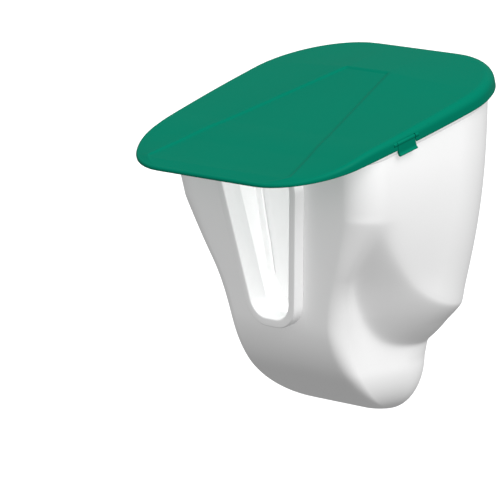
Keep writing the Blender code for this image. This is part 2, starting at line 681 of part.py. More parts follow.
def lid_side(turn=7, spacing=0.017):
    """Right side of the lid's plan, from the front edge's end to the back edge's end: (x, from tip).

    Stations crowd where the corners turn, and two of them lie on the ends of the flat facet."""
    front = LID_FRONT_RADIUS * (1 - np.cos(np.radians(np.linspace(0, 90, turn))))
    back = LID_LENGTH - LID_BACK_RADIUS * (1 - np.sin(np.radians(np.linspace(0, 90, turn + 1))))
    middle = np.arange(front[-1] + spacing, back[0] - 0.5 * spacing, spacing)
    s = np.concatenate([front, middle, back])
    for end in (CREASE_FRONT_BACKSET, RIDGE_BACKSET):
        s[1 + np.argmin(np.abs(s[1:-1] - end))] = end
    x = lid_half(s)
    lead = np.clip(1 - s / LID_FRONT_RADIUS, 0, 1)
    tail = np.clip(1 - (LID_LENGTH - s) / LID_BACK_RADIUS, 0, 1)
    x = x - LID_FRONT_RADIUS * (1 - np.sqrt(1 - lead ** 2)) - LID_BACK_RADIUS * (1 - np.sqrt(1 - tail ** 2))
    return np.column_stack([x, s])


def skirt_top(s):
    """Height of the lid's edge above its plane: a thin nose that grows to the full skirt."""
    s = np.asarray(s, float)
    grow = smooth(2.0 * s / NOSE_BLEND - 1.0)
    further = np.clip((s - NOSE_BLEND) / (LID_LENGTH - NOSE_BLEND), 0.0, 1.0)
    return NOSE_HEIGHT + (SKIRT_HEIGHT - NOSE_HEIGHT) * grow + (SKIRT_BACK_HEIGHT - SKIRT_HEIGHT) * further


def crease_half(s, edge):
    """Half width of the flat facet at a distance from the tip, where the lid's half width is edge."""
    share = (s - CREASE_FRONT_BACKSET) / (RIDGE_BACKSET - CREASE_FRONT_BACKSET)
    crease = CREASE_FRONT_HALF + (RIDGE_HALF - CREASE_FRONT_HALF) * share
    return np.clip(crease, RIDGE_HALF, CREASE_SHARE * edge)


def crown(x, s, edge):
    """Height of the lid's top: a flat facet between two creases, and sides that fall to the skirt.

    x is the distance from the middle, s from the tip, and edge the half width at s."""
    x = np.abs(x)
    share = (s - CREASE_FRONT_BACKSET) / (RIDGE_BACKSET - CREASE_FRONT_BACKSET)
    rising = CREASE_FRONT_HEIGHT + (RIDGE_HEIGHT - CREASE_FRONT_HEIGHT) * share
    falling_share = (s - RIDGE_BACKSET) / (LID_LENGTH - RIDGE_BACKSET)
    falling = RIDGE_HEIGHT + (SKIRT_BACK_HEIGHT - RIDGE_HEIGHT) * falling_share
    middle = np.minimum(rising, falling)
    crease = crease_half(s, edge)
    low = skirt_top(s)
    lead = np.clip(s / CREASE_FRONT_BACKSET, 0.0, 1.0)
    middle = low + (np.maximum(middle, low) - low) * lead
    out = np.clip((x - crease) / (edge - crease), 0.0, 1.0)
    return middle + (low - middle) * out


def lid_surface(collection):
    """The crowned top with its turned-down skirt, as an open surface in the lid's frame."""
    side = lid_side()
    columns = np.linspace(-1.0, 1.0, 3 * CROWN_STRIPS + 1)
    creases = columns[[0, CROWN_STRIPS, 2 * CROWN_STRIPS, -1]]
    count = columns.size
    front_x, back_x = side[0, 0] * columns, side[-1, 0] * columns
    ring = [(x, 0.0) for x in front_x[:-1]] + [(x, s) for x, s in side[:-1]]
    ring += [(-x, LID_LENGTH) for x in back_x[:-1]] + [(-x, s) for x, s in side[:0:-1]]
    ring = np.array(ring)
    tangent = np.roll(ring, -1, axis=0) - np.roll(ring, 1, axis=0)
    outward = np.column_stack([tangent[:, 1], -tangent[:, 0]])
    outward /= np.linalg.norm(outward, axis=1)[:, None]
    edge = skirt_top(ring[:, 1])
    growing = LID_EDGE_FILLET + (LID_BACK_FILLET - LID_EDGE_FILLET) * ring[:, 1] / LID_LENGTH
    fillet = np.minimum(growing, 0.7 * edge)
    rows = []
    heights = (edge, edge - 0.29 * fillet, edge - fillet, np.zeros_like(edge))
    for inset, height in zip((1.0, 0.29, 0.0, 0.0), heights):
        plan = ring - outward * (fillet * inset)[:, None]
        rows.append(np.column_stack([plan, height]))
    bm = bmesh.new()
    boundary = loft(bm, [lid_place(row) for row in rows])[0]
    last = len(side) - 1
    grid = [boundary[:count]]
    for j in range(1, last):
        left, right = rows[0][-j], rows[0][count - 1 + j]
        crease = crease_half(left[1], right[0])
        x = np.interp(columns, creases, (left[0], -crease, crease, right[0]))[1:-1]
        height = crown(x, left[1], right[0])
        line = lid_place(np.column_stack([x, np.full_like(x, left[1]), height]))
        grid.append([boundary[-j]] + [bm.verts.new(p) for p in line] + [boundary[count - 1 + j]])
    grid.append([boundary[last + 2 * (count - 1) - k] for k in range(count)])
    for front, back in zip(grid, grid[1:]):
        for k in range(count - 1):
            bm.faces.new((front[k], front[k + 1], back[k + 1], back[k]))
    return bmesh_object("lid", bm, collection)


def latch_frame(side):
    """Matrix of a side latch in the lid's frame: X outwards, Y along the edge, Z out of plane.

    Its origin is on the pin, in the middle of the skirt's thickness."""
    step = 0.001
    x = float(lid_half(LATCH_BACKSET))
    lean = float(lid_half(LATCH_BACKSET + step) - x) / step
    outward = Vector((side, -lean, 0.0)).normalized()
    up = Vector((0.0, 0.0, 1.0))
    along = up.cross(outward)
    place = Vector(lid_place([side * x, LATCH_BACKSET, LATCH_PIVOT_HEIGHT])) - outward * 0.5 * LID_WALL
    turn = Matrix((outward, along, up)).transposed().to_4x4()
    return Matrix.Translation(place) @ turn


def lid_tools(cutters):
    """Knuckles, seat ribs and latch bosses to join, then bores and latch windows to cut."""
    joins, cuts = [], []
    back, base = lid_datum()
    for side in (-1, 1):
        left = side * HINGE_CENTRES - 0.5 * LID_KNUCKLE
        outline = [(left, KNUCKLE_RADIUS * math.cos(a), KNUCKLE_RADIUS * math.sin(a))
                   for a in np.radians(np.linspace(180, 380, 13))]
        root, high, low = back - 0.6 * LID_WALL, base + 0.7 * SKIRT_HEIGHT, base + 0.1 * SKIRT_HEIGHT
        outline += [(left, back + KNUCKLE_LAP, high), (left, root, high), (left, root, low),
                    (left, -KNUCKLE_RADIUS, 0.6 * KNUCKLE_RADIUS)]
        joins.append(prism("lid_knuckle", outline, (LID_KNUCKLE, 0, 0), cutters))
        place = latch_frame(side)
        half = 0.5 * LATCH_WIDTH + LATCH_SIDE_GAP
        for end in (-1, 1):
            start = place @ Vector((0, end * (half - LATCH_SIDE_GAP), 0))
            stop = place @ Vector((0, end * (half + LATCH_BOSS), 0))
            joins.append(rod("latch_boss", start, stop, LATCH_BARREL_RADIUS, cutters, 16))
        top = LATCH_BARREL_RADIUS + LATCH_SIDE_GAP
        cuts.append(box("latch_window", (-2 * LID_WALL, -half, -2 * LATCH_PIVOT_HEIGHT),
                        (2 * LID_WALL, half, top), cutters, place))
        reach = half + 2 * LATCH_BOSS
        cuts.append(rod("latch_bore", place @ Vector((0, -reach, 0)), place @ Vector((0, reach, 0)),
                        0.5 * LATCH_PIN_DIAMETER + FIT, cutters, 12))
        for backset in SEAT_BACKSETS:
            joins.append(seat_rib(side, backset, cutters))
    cuts.append(rod("lid_rod_bore", (-2 * HINGE_CENTRES, 0, 0), (2 * HINGE_CENTRES, 0, 0),
                    0.5 * ROD_DIAMETER + RUNNING, cutters))
    return joins, cuts


def seat_rib(side, backset, cutters):
    """A rib under the lid whose lower edge rests on the body's rim."""
    seat = RIM_RISE * math.cos(math.radians(RIM_PITCH)) + FIT
    edge = float(lid_half(backset))
    outer, inner = edge - 0.5 * LID_WALL, edge - LID_OVERHANG - 2.5 * WALL
    top = SKIRT_HEIGHT - 0.5 * LID_WALL
    outline = [(outer, seat), (inner, seat), (inner - 0.5 * SEAT_THICKNESS, top), (outer, top)]
    points = lid_place([(side * x, backset - 0.5 * SEAT_THICKNESS, z) for x, z in outline])
    return prism("seat_rib", points, (0, SEAT_THICKNESS, 0), cutters)


def lid(collection, cutters, mat):
    """The visor lid, hinged along its back edge."""
    cover = lid_surface(collection)
    mod = cover.modifiers.new("Wall", "SOLIDIFY")
    mod.thickness = LID_WALL
    mod.offset = -1.0
    mod.use_even_offset = True
    joins, cuts = lid_tools(cutters)
    for tool in joins:
        boolean(cover, tool, "UNION")
    for tool in cuts:
        boolean(cover, tool, "DIFFERENCE")
    for obj in [cover] + joins + cuts:
        obj.matrix_world = lid_frame()
    return finish(cover, mat)


def hinge_hardware(collection, mat):
    """The rod and the push-on clips at its ends."""
    y, z = hinge_axis()
    outer = HINGE_CENTRES + 0.5 * LID_KNUCKLE + KNUCKLE_GAP + BODY_KNUCKLE + FIT
    end = outer + CLIP_THICKNESS + ROD_PROUD
    bar = rod("hinge_rod", (-end, y, z), (end, y, z), 0.5 * ROD_DIAMETER, collection)
    finish(bar, mat)
    bore = 0.5 * ROD_DIAMETER + FIT
    profile = ((outer, bore), (outer, CLIP_RADIUS), (outer + 0.5 * CLIP_THICKNESS, CLIP_RADIUS),
               (outer + CLIP_THICKNESS, 0.5 * (CLIP_RADIUS + bore)), (outer + CLIP_THICKNESS, bore))
    turns = np.linspace(0, 2 * math.pi, 16, endpoint=False)
    for word, side in (("left", -1), ("right", 1)):
        bm = bmesh.new()
        rows = [[(side * x, y + r * math.cos(a), z + r * math.sin(a)) for a in turns] for x, r in profile]
        loft(bm, rows + rows[:1])
        bmesh.ops.remove_doubles(bm, verts=bm.verts, dist=1e-6)
        finish(bmesh_object("rod_clip_" + word, bm, collection), mat)


def side_latch(name, side, collection, cutters, mat):
    """A snap tab that turns outwards on its pin; its ridge grips the rim bead."""
    low = -(LATCH_PIVOT_HEIGHT + LATCH_HANG)
    half, thick = 0.5 * LATCH_WIDTH, 0.5 * LATCH_THICKNESS
    ridge = LID_OVERHANG - BEAD_PROUD - LID_WALL - FIT
    ridge_z = -LATCH_PIVOT_HEIGHT - 0.5 * BEAD_BELOW
    barrel = [(LATCH_BARREL_RADIUS * math.cos(a), LATCH_BARREL_RADIUS * math.sin(a))
              for a in np.radians(np.linspace(-50, 230, 13))]
    root, tip, toe = 0.5 * LATCH_RIDGE_HEIGHT, 0.5 * LATCH_RIDGE_TIP, thick + LATCH_TOE
    leaf = [(-thick, ridge_z + root), (-thick - ridge, ridge_z + tip), (-thick - ridge, ridge_z - tip),
            (-thick, ridge_z - root), (-thick, low + LATCH_CHAMFER), (-thick + LATCH_CHAMFER, low),
            (toe - LATCH_CHAMFER, low), (toe, low + LATCH_CHAMFER), (thick, low + LATCH_TOE_HEIGHT)]
    outline = [(x, -half, z) for x, z in barrel + leaf]
    place = latch_frame(side)
    tab = prism(name, outline, (0, LATCH_WIDTH, 0), collection)
    bore = rod(name + "_bore", (0, -LATCH_WIDTH, 0), (0, LATCH_WIDTH, 0),
               0.5 * LATCH_PIN_DIAMETER + RUNNING, cutters, 12)
    boolean(tab, bore, "DIFFERENCE")
    for obj in (tab, bore):
        obj.matrix_world = lid_frame() @ place
    finish(tab, mat)


def latch_pin(name, side, collection, mat):
    """The wire pin that a latch turns on."""
    reach = 0.5 * LATCH_WIDTH + LATCH_SIDE_GAP + LATCH_BOSS
    pin = rod(name, (0, -reach, 0), (0, reach, 0), 0.5 * LATCH_PIN_DIAMETER, collection, 12)
    pin.matrix_world = lid_frame() @ latch_frame(side)
    finish(pin, mat)


def wall_bracket(collection, cutters, mat):
    """A folded strip: plate on the wall, shelf, and an upturned flange that the body hangs on."""
    top, low = 0.5 * BRACKET_HEIGHT, -0.5 * BRACKET_HEIGHT
    path = [(0.0, top)]
    for centre_y, start in ((-BRACKET_BEND, 0), (-BRACKET_REACH + BRACKET_BEND, -90)):
        for a in np.radians(np.linspace(start, start - 90, 5)):
            path.append((centre_y + BRACKET_BEND * math.cos(a),
                         low + BRACKET_BEND * (1 + math.sin(a))))
    path.append((-BRACKET_REACH, low + BRACKET_FLANGE))
    half = 0.5 * BRACKET_WIDTH
    bm = bmesh.new()
    loft(bm, [[(x, y, z) for y, z in path] for x in (-half, half)], closed=False)
    strip = bmesh_object("wall_bracket", bm, collection)
    mod = strip.modifiers.new("Sheet", "SOLIDIFY")
    mod.thickness = BRACKET_SHEET
    mod.offset = 1.0 if strip.data.polygons[0].normal.y < 0 else -1.0
    mod.use_even_offset = True
    for side in (-1, 1):
        for z in SCREW_ROWS:
            x = 0.5 * side * SCREW_SPACING
            drill = rod("screw_hole", (x, -2 * BRACKET_SHEET, z), (x, BRACKET_SHEET, z),
                        0.5 * SCREW_HOLE, cutters, 16)
            boolean(strip, drill, "DIFFERENCE")
    return finish(strip, mat)


def clear_scene():
    """Remove every object from the file."""
    for obj in list(bpy.data.objects):
        bpy.data.objects.remove(obj, do_unlink=True)


def main():
    clear_scene()
    parts = bpy.data.collections.new("poultry_feeder")
    cutters = bpy.data.collections.new("cutters")
    bpy.context.scene.collection.children.link(parts)
    bpy.context.scene.collection.children.link(cutters)
    white = material("white_plastic", (0.83, 0.84, 0.83), 0.35)
    green = material("green_plastic", (0.0, 0.20, 0.125), 0.4)
    steel = material("galvanised_steel", (0.56, 0.57, 0.58), 0.4, 1.0)
    wall_bracket(parts, cutters, steel)
    hopper_body(parts, cutters, white)
    port_collar(parts, white)
    feed_baffle(parts, cutters, white)
    lid(parts, cutters, green)
    hinge_hardware(parts, steel)
    for word, side in (("left", -1), ("right", 1)):
        side_latch("latch_" + word, side, parts, cutters, green)
        latch_pin("latch_pin_" + word, side, parts, steel)


if __name__ == "__main__":
    main()
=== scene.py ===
"""Wall-hung poultry feeder, dressed: fine surfaces and finishes round the packed solids.

Everything is in metres.  The origin is the middle of the wall bracket's back face, +Y points into
the wall, +Z up, and the feeding port looks towards -Y.
"""
import json
import math

import bmesh
import bpy
import numpy as np
from bpy.props import FloatProperty, FloatVectorProperty, PointerProperty
from mathutils import Matrix, Vector


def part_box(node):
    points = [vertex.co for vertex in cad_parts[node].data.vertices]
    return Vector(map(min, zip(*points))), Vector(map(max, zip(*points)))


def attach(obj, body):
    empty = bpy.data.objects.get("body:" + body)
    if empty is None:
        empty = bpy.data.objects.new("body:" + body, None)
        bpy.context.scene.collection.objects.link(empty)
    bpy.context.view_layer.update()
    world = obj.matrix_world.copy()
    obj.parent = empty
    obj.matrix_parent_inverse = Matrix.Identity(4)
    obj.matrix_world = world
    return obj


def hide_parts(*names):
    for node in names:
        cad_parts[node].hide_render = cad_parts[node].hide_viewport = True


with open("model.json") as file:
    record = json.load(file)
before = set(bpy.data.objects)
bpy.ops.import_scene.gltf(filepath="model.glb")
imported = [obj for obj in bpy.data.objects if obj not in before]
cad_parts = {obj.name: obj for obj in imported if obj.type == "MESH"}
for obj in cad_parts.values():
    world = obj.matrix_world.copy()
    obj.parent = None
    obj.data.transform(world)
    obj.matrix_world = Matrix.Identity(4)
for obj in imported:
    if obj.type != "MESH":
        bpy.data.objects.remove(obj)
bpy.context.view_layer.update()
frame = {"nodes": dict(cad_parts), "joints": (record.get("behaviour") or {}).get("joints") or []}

bl_info = {
    "name": "Poultry Feeder",
    "version": (1, 0, 0),
    "blender": (4, 5, 0),
    "location": "3D View > Sidebar > Feeder",
    "description": "Builds the fine surfaces, finishes and studio of a wall-hung poultry feeder",
    "category": "Add Mesh",
}

FIT = 0.0003            # between pieces that touch
WELD = 1e-6             # points nearer than this become one
HALF_TURN = math.pi
SIDES = ((-1, "left"), (1, "right"))
LEAST_STATION = 0.0003  # between two rows of the lid's grid
MOST_FALL = 1.25        # of the hopper's drop, past which it runs straight down
HOPPER_ROWS = 36
LEDGE_ROWS = 50
TROUGH_ROWS = 16
FLOOR_ROWS = 30
PLATE_ROWS = 120        # down the baffle's sides, before they are spread evenly
PLATE_POINTS = 320      # round the baffle
GUIDE_ROWS = 60
RING_POINTS = 96        # round a hinge ear or knuckle
NOSE_ROWS = 34          # of the lid, round the tip's corners
SIDE_ROWS = 44
TAIL_ROWS = 40          # round the back corners
STRIP_COLUMNS = 24      # in each of the lid's three strips
RIB_BACKSETS = (0.196, 0.250)   # of the lid's seat ribs, behind its tip
RIB_THICKNESS = 0.0025


def joint(name):
    """The packed record's joint of that name."""
    return next(j for j in frame["joints"] if j["name"] == name)


def length(label, default, text):
    """A size in metres for the sidebar."""
    return FloatProperty(name=label, description=text, default=default, unit="LENGTH", precision=4)


def angle(label, degrees, text):
    """An angle for the sidebar, given here in degrees."""
    return FloatProperty(name=label, description=text, default=math.radians(degrees), subtype="ANGLE")


def number(label, default, text):
    """A plain number for the sidebar."""
    return FloatProperty(name=label, description=text, default=default, precision=3)


def colour(label, default, text):
    """A linear colour for the sidebar."""
    return FloatVectorProperty(name=label, description=text, default=default, subtype="COLOR",
                               size=3, min=0.0, max=1.0)


def point(label, default, text):
    """A point in metres for the sidebar."""
    return FloatVectorProperty(name=label, description=text, default=default, subtype="XYZ",
                               unit="LENGTH", size=3, precision=4)


def direction(label, default, text):
    """A direction for the sidebar."""
    return FloatVectorProperty(name=label, description=text, default=default, subtype="DIRECTION",
                               size=3)


HINGE = Vector(joint("lid_hinge")["pos_m"])


class BodySizes(bpy.types.PropertyGroup):
    """Sizes of the moulded body."""
    hinge_to_body: length("Hinge to body", 0.009, "From the hinge rod forward to the body's back")
    hinge_drop: length("Hinge drop", 0.006, "Hinge rod below the rim plane")
    rim_pitch: angle("Rim pitch", 15.7, "Slope of the rim plane, down towards the front")
    rim_rise: length("Rim rise", 0.0085, "Height of the wall's top above the rim plane")
    rim_depth: length("Rim depth", 0.270, "Front to back at the rim")
    rim_front_half: length("Rim front half width", 0.1688, "Half width of the rim at the front")
    rim_back_half: length("Rim back half width", 0.1740, "Half width of the rim at the back")
    rim_bow: length("Rim bow", 0.0042, "How far the sides bulge half way along")
    rim_front_radius: length("Rim front radius", 0.0372, "Plan radius of the rim's front corners")
    rim_back_radius: length("Rim back radius", 0.1104, "Plan radius of the rim's back corners")
    front_lean: number("Front lean", 0.162, "Run of the front face per unit of drop")
    front_narrowing: length("Front narrowing", 0.0252, "Narrowing of the front in its drop")
    front_narrowing_drop: length("Front narrowing drop", 0.127, "Drop over which the front narrows")
    back_narrowing: length("Back narrowing", 0.0262, "Narrowing of the back down to the ledge")
    back_draft: length("Back draft", 0.0138, "Run of the back face down to the ledge")
    hopper_curve: number("Hopper curve", 2.2, "Power with which back and sides curve in")
    wall: length("Wall", 0.003, "Thickness of the moulding")
    corner_share: number("Corner share", 0.48, "Largest corner radius as a share of the depth")
    bead_proud: length("Bead proud", 0.003, "How far the rim's bead stands out")
    bead_below: length("Bead below", 0.006, "Bead below the rim plane")
    bead_above: length("Bead above", 0.002, "Bead above the rim plane")
    bead_rounding: length("Bead rounding", 0.0014, "Radius of the bead's edges")
    bead_sunk: length("Bead sunk", 0.0004, "Bead's root inside the wall's face")


class HangingSizes(bpy.types.PropertyGroup):
    """Sizes of the hinge ears, hanging hooks and stand-off fins."""
    ear_thickness: length("Ear thickness", 0.006, "Thickness of a hinge ear")
    ear_gap: length("Ear gap", 0.0006, "Gap between an ear and the lid's knuckle")
    ear_root: length("Ear root", 0.020, "How far an ear's web runs down the back")
    eye_bore: length("Eye bore", 0.0024, "Radius of the holes for the hinge rod")
    centres: length("Hook centres", 0.045, "Each hook and fin from the middle")
    flange_top: length("Flange top", -0.005, "Height of the bracket's front flange")
    flange: length("Flange", 0.002, "Thickness of the bracket's front flange")
    hook_width: length("Hook width", 0.024, "Width of a hook")
    hook_bridge: length("Hook bridge", 0.006, "Thickness of the hook over the flange")
    hook_lip: length("Hook lip", 0.0035, "Thickness of the hook's lip behind the flange")
    hook_bevel: length("Hook bevel", 0.003, "Bevel at the top of the lip")
    hook_drop: length("Hook drop", 0.028, "Height of the lip")
    hook_rise: length("Hook rise", 0.008, "Rise of the hook's root above its bridge")
    hook_root: length("Hook root", 0.036, "Depth of the hook's root below its bridge")
    fin_thickness: length("Fin thickness", 0.004, "Thickness of a fin")


class LedgeSizes(bpy.types.PropertyGroup):
    """Sizes of the J-shaped ledge between hopper and trough."""
    top_z: length("Upper edge", -0.1872, "Height where the ledge's upper edge levels out")
    low_z: length("Lower edge", -0.2340, "Height where the ledge's lower edge levels out")
    top_climb: length("Upper climb", 0.1356, "Climb of the upper edge towards the front")
    low_climb: length("Lower climb", 0.1464, "Climb of the lower edge towards the front")
    top_run: length("Upper run", 0.0888, "Depth over which the upper edge falls away")
    low_run: length("Lower run", 0.0612, "Depth over which the lower edge falls away")
    top_curve: number("Upper curve", 1.7, "Power of the upper edge's fall")
    low_curve: number("Lower curve", 1.655, "Power of the lower edge's fall")
    low_limit: length("Lower limit", -0.1356, "Height that the lower edge stays under")
    limit_blend: length("Limit blend", 0.0144, "Softness of that limit")
    start: length("Start", 0.0079, "Where the falls start behind the front face's top")
    rounding: number("Rounding", 0.12, "Rounding of the edges as a share of the half band")
    front_rounding: number("Front rounding", 0.36, "Further rounding of the edges at the front")
    front_rounding_run: length("Front rounding run", 0.075, "Depth over which that rounding dies away")
    sag: number("Sag", 0.44, "How much steeper the ledge is at its foot than along its middle")
    hip_top: length("Hip top", -0.062, "Height where the front corner starts to draw in")
    hip_low: length("Hip foot", -0.156, "Height where the front corner has reached the trough")
    hip_fall: number("Hip fall", 1.5, "Drop of that foot per unit of depth")
    hip_power: number("Hip power", 1.3, "Power with which the front corner draws in")
    hip_run: length("Hip run", 0.046, "Depth over which the hip turns into the ledge")
    hip_blend: number("Hip blend", 0.12, "Softness of the hip's foot")


class TroughSizes(bpy.types.PropertyGroup):
    """Sizes of the trough."""
    floor_z: length("Floor height", -0.3180, "Height of the trough's lowest line")
    half: length("Half width", 0.0936, "Half width under the ledge")
    draft: number("Draft", 0.04, "Narrowing of the sides per unit of drop")
    front_radius: length("Front radius", 0.018, "Plan radius of the front corners")
    back_radius: length("Back radius", 0.088, "Plan radius of the back corners")
    edge_inset: length("Edge inset", 0.045, "Width over which the sides round into the floor")
    edge_rise: length("Edge rise", 0.060, "Height over which the sides round into the floor")
    front_sweep: length("Front sweep", 0.1416, "Radius that turns the front face into the floor")
    back_sweep: length("Back sweep", 0.0696, "Depth over which the back rounds into the floor")
    back_rise: length("Back rise", 0.096, "Height over which the back rounds into the floor")


class PortSizes(bpy.types.PropertyGroup):
    """Sizes of the feeding port and its lip, down the front face from the rim plane."""
    top: length("Top", 0.024, "Upper edge of the port")
    sill: length("Sill", 0.204, "Lower edge of the port")
    top_half: length("Top half width", 0.0590, "Half width of the port at its top")
    taper: number("Taper", 0.172, "Narrowing of each side per unit of drop")
    sill_radius: length("Sill radius", 0.024, "Radius of the lower corners")
    top_radius: length("Top radius", 0.016, "Radius of the upper corners")
    lip_width: length("Lip width", 0.0113, "Width of the lip round the port")
    lip_proud: length("Lip proud", 0.0144, "How far the lip stands out")
    lip_wall: length("Lip wall", 0.003, "Thickness of the lip's moulding")
    inner_roll: length("Inner roll", 0.0022, "Radius of the lip's inner edge")
    outer_roll: length("Outer roll", 0.0016, "Radius of the lip's outer edge")
    inside: length("Inside", 0.008, "How far the sleeve stands inside the body")


class BaffleSizes(bpy.types.PropertyGroup):
    """Sizes of the feed baffle and its guides."""
    from_back: length("From back", 0.113, "Baffle's middle in front of the body's back")
    thickness: length("Thickness", 0.0025, "Thickness of the plate")
    top_z: length("Top height", 0.022, "Height of the plate's top")
    floor_gap: length("Floor gap", 0.050, "Gap under the plate for the feed")
    side_gap: length("Side gap", 0.0025, "Gap between the plate's edges and the wall")
    lip: length("Lip", 0.009, "Stiffening lip along the top")
    corner: length("Corner radius", 0.012, "Radius of the lower corners")
    grip_width: length("Grip width", 0.090, "Width of the finger slot")
    grip_height: length("Grip height", 0.024, "Height of the finger slot")
    grip_below_top: length("Grip below top", 0.014, "Finger slot below the plate's top")
    sliding: length("Sliding gap", 0.0008, "Gap between plate and guides")
    guide_depth: length("Guide depth", 0.010, "How far the guides stand out of the wall")
    guide_thickness: length("Guide thickness", 0.003, "Thickness of a guide")
    guide_below_rim: length("Guide below rim", 0.012, "Guides' top under the rim plane")


class LidSizes(bpy.types.PropertyGroup):
    """Sizes of the visor lid, in its own plane."""
    wall: length("Wall", 0.003, "Thickness of the moulding")
    overhang: length("Overhang", 0.0072, "Lid beyond the body at sides and back")
    visor: length("Visor", 0.092, "Lid beyond the body's front")
    tip_tuck: length("Tip tuck", 0.0044, "Tip narrower than the rim's front at each side")
    back_margin: length("Back margin", 0.0060, "Back wider than the rim at each side")
    side_margin: length("Side margin", 0.0060, "Further bulge of the sides outside the rim's")
    front_radius: length("Front radius", 0.084, "Plan radius of the tip's corners")
    back_radius: length("Back radius", 0.1140, "Plan radius of the back corners")
    edge_fillet: length("Edge fillet", 0.004, "Rounding of the upper edge at the front")
    back_fillet: length("Back fillet", 0.013, "Rounding of the upper edge at the back")
    skirt_height: length("Skirt height", 0.015, "Height of the skirt behind the nose")
    skirt_back_height: length("Skirt back height", 0.021, "Height of the skirt at the back")
    nose_height: length("Nose height", 0.0045, "Thickness of the nose")
    nose_blend: length("Nose blend", 0.120, "Depth over which the nose grows to the skirt")
    crease_front_half: length("Crease front half", 0.120, "Half width of the flat facet in front")
    crease_front_backset: length("Crease backset", 0.019, "Flat facet's front edge from the tip")
    crease_front_height: length("Crease height", 0.0074, "Height of that edge")
    crease_share: number("Crease share", 0.87, "Widest facet as a share of the half width")
    panel_sink: length("Panel sink", 0.0016, "Flat facet below the side facets at the creases")
    panel_riser: length("Panel riser", 0.0028, "Width of the small riser along the creases")
    crease_round: length("Crease rounding", 0.0024, "Half width over which creases are rounded")
    ridge_half: length("Ridge half width", 0.0354, "Half width of the ridge at the back")
    ridge_backset: length("Ridge backset", 0.285, "Ridge behind the tip")
    ridge_height: length("Ridge height", 0.0265, "Height of the ridge")
    knuckle_radius: length("Knuckle radius", 0.005, "Radius of the hinge knuckles")
    knuckle_length: length("Knuckle length", 0.014, "Length of a lid knuckle")
    hinge_centres: length("Hinge centres", 0.042, "Each hinge from the middle")


class LatchSizes(bpy.types.PropertyGroup):
    """Sizes of the side latches."""
    width: length("Width", 0.028, "Length of a latch along the edge")
    backset: length("Backset", 0.157, "Latch's middle behind the lid's tip")
    hang: length("Hang", 0.008, "Latch below the skirt")
    thickness: length("Thickness", 0.003, "Thickness of the leaf")
    pivot_height: length("Pivot height", 0.0075, "Pin above the skirt's lower edge")
    barrel_radius: length("Barrel radius", 0.0026, "Radius round the pin")
    pin_diameter: length("Pin diameter", 0.002, "Diameter of the pin")
    side_gap: length("Side gap", 0.0006, "Gap at each end of the latch")
    boss: length("Boss length", 0.005, "Length of the pin's seat at each end")
    toe: length("Toe", 0.0018, "How far the finger edge stands out")
    toe_height: length("Toe height", 0.004, "Height of the finger edge")
    chamfer: length("Edge rounding", 0.0008, "Rounding of the leaf's edges")


class Finishes(bpy.types.PropertyGroup):
    """Colours of the feeder's finishes."""
    white: colour("White plastic", (0.84, 0.84, 0.84), "Body, lip and baffle")
    green: colour("Green plastic", (0.0, 0.150, 0.092), "Lid and latches")
    zinc: colour("Zinc", (0.50, 0.51, 0.52), "Wall bracket")
    steel: colour("Steel", (0.58, 0.58, 0.59), "Rod, clips and pins")


class StudioSettings(bpy.types.PropertyGroup):
    """Camera and light of the studio."""
    camera_turn: angle("Camera turn", 46.0, "Camera to the right of the port")
    camera_rise: angle("Camera rise", 10.0, "Camera above level")
    camera_distance: length("Camera distance", 6.0, "Camera to the point it looks at")
    frame_width: length("Frame width", 0.6, "Width that the picture takes in there")
    aim: point("Aim", (-0.092, -0.234, -0.131), "Point that the camera looks at")
    key: number("Key light", 1.2, "Strength of the light from the right that throws soft shadows")
    side_fill: number("Side fill", 1.95, "Strength of the light from the right that throws none")
    side_towards: direction("Side direction", (0.75, -0.12, 0.65), "Where the right-hand lights stand")
    front_fill: number("Front fill", 1.45, "Strength of the light in front that throws no shadow")
    front_towards: direction("Front direction", (0.10, -0.62, 0.78), "Where the light in front stands")
    key_spread: angle("Key spread", 40.0, "Width of the key light in the sky")
    fill_spread: angle("Fill spread", 10.0, "Width of each fill light in the sky")
    sky: number("Surrounding light", 0.35, "Strength of the pale surroundings")
    floor_glow: number("Floor glow", 0.10, "Light that the floor gives off by itself")
    floor_drop: length("Floor height", -0.378, "Height of the floor under the bracket's middle")
    floor_reach: length("Floor reach", 60.0, "Half the floor's width")
    paper: colour("Paper", (0.92, 0.92, 0.92), "Floor")


def smooth(t):
    """0 below -1, 1 above +1, and an S-curve between: three squares of the share less two cubes."""
    t = np.clip(0.5 + 0.5 * np.asarray(t, float), 0.0, 1.0)
    return t * t * (3.0 - 2.0 * t)


def fall(depth, run, curve):
    """1 at depth 0 that dies away behind it: e to minus the power curve of depth over run."""
    return np.exp(-(np.maximum(depth, 0.0) / run) ** curve)


def unit(vectors):
    """Vectors along the last axis, each divided by its length."""
    return vectors / np.maximum(np.linalg.norm(vectors, axis=-1, keepdims=True), 1e-12)


def held_under(values, limit, softness):
    """Values held softly under a limit: the lower branch of a hyperbola."""
    return 0.5 * (values + limit - np.hypot(values - limit, softness))


def axes(x, y, z, origin=(0.0, 0.0, 0.0)):
    """A place whose own X, Y and Z run along three given directions."""
    return Matrix.Translation(origin) @ Matrix((x, y, z)).transposed().to_4x4()


def across():
    """Place of flat outlines of (depth, height) that are pushed along X."""
    return axes((0.0, 1.0, 0.0), (0.0, 0.0, 1.0), (1.0, 0.0, 0.0))


def upright(depth=0.0, side=1.0):
    """Place of flat outlines of (outwards, height) that are pushed along Y, at a depth."""
    return axes((side, 0.0, 0.0), (0.0, 0.0, 1.0), (0.0, 1.0, 0.0), (0.0, depth, 0.0))


def edgewise(middle=0.0):
    """Place on a latch's frame of flat outlines of (outwards, height), pushed along the lid's edge."""
    return axes((1.0, 0.0, 0.0), (0.0, 0.0, 1.0), (0.0, -1.0, 0.0), (0.0, middle, 0.0))


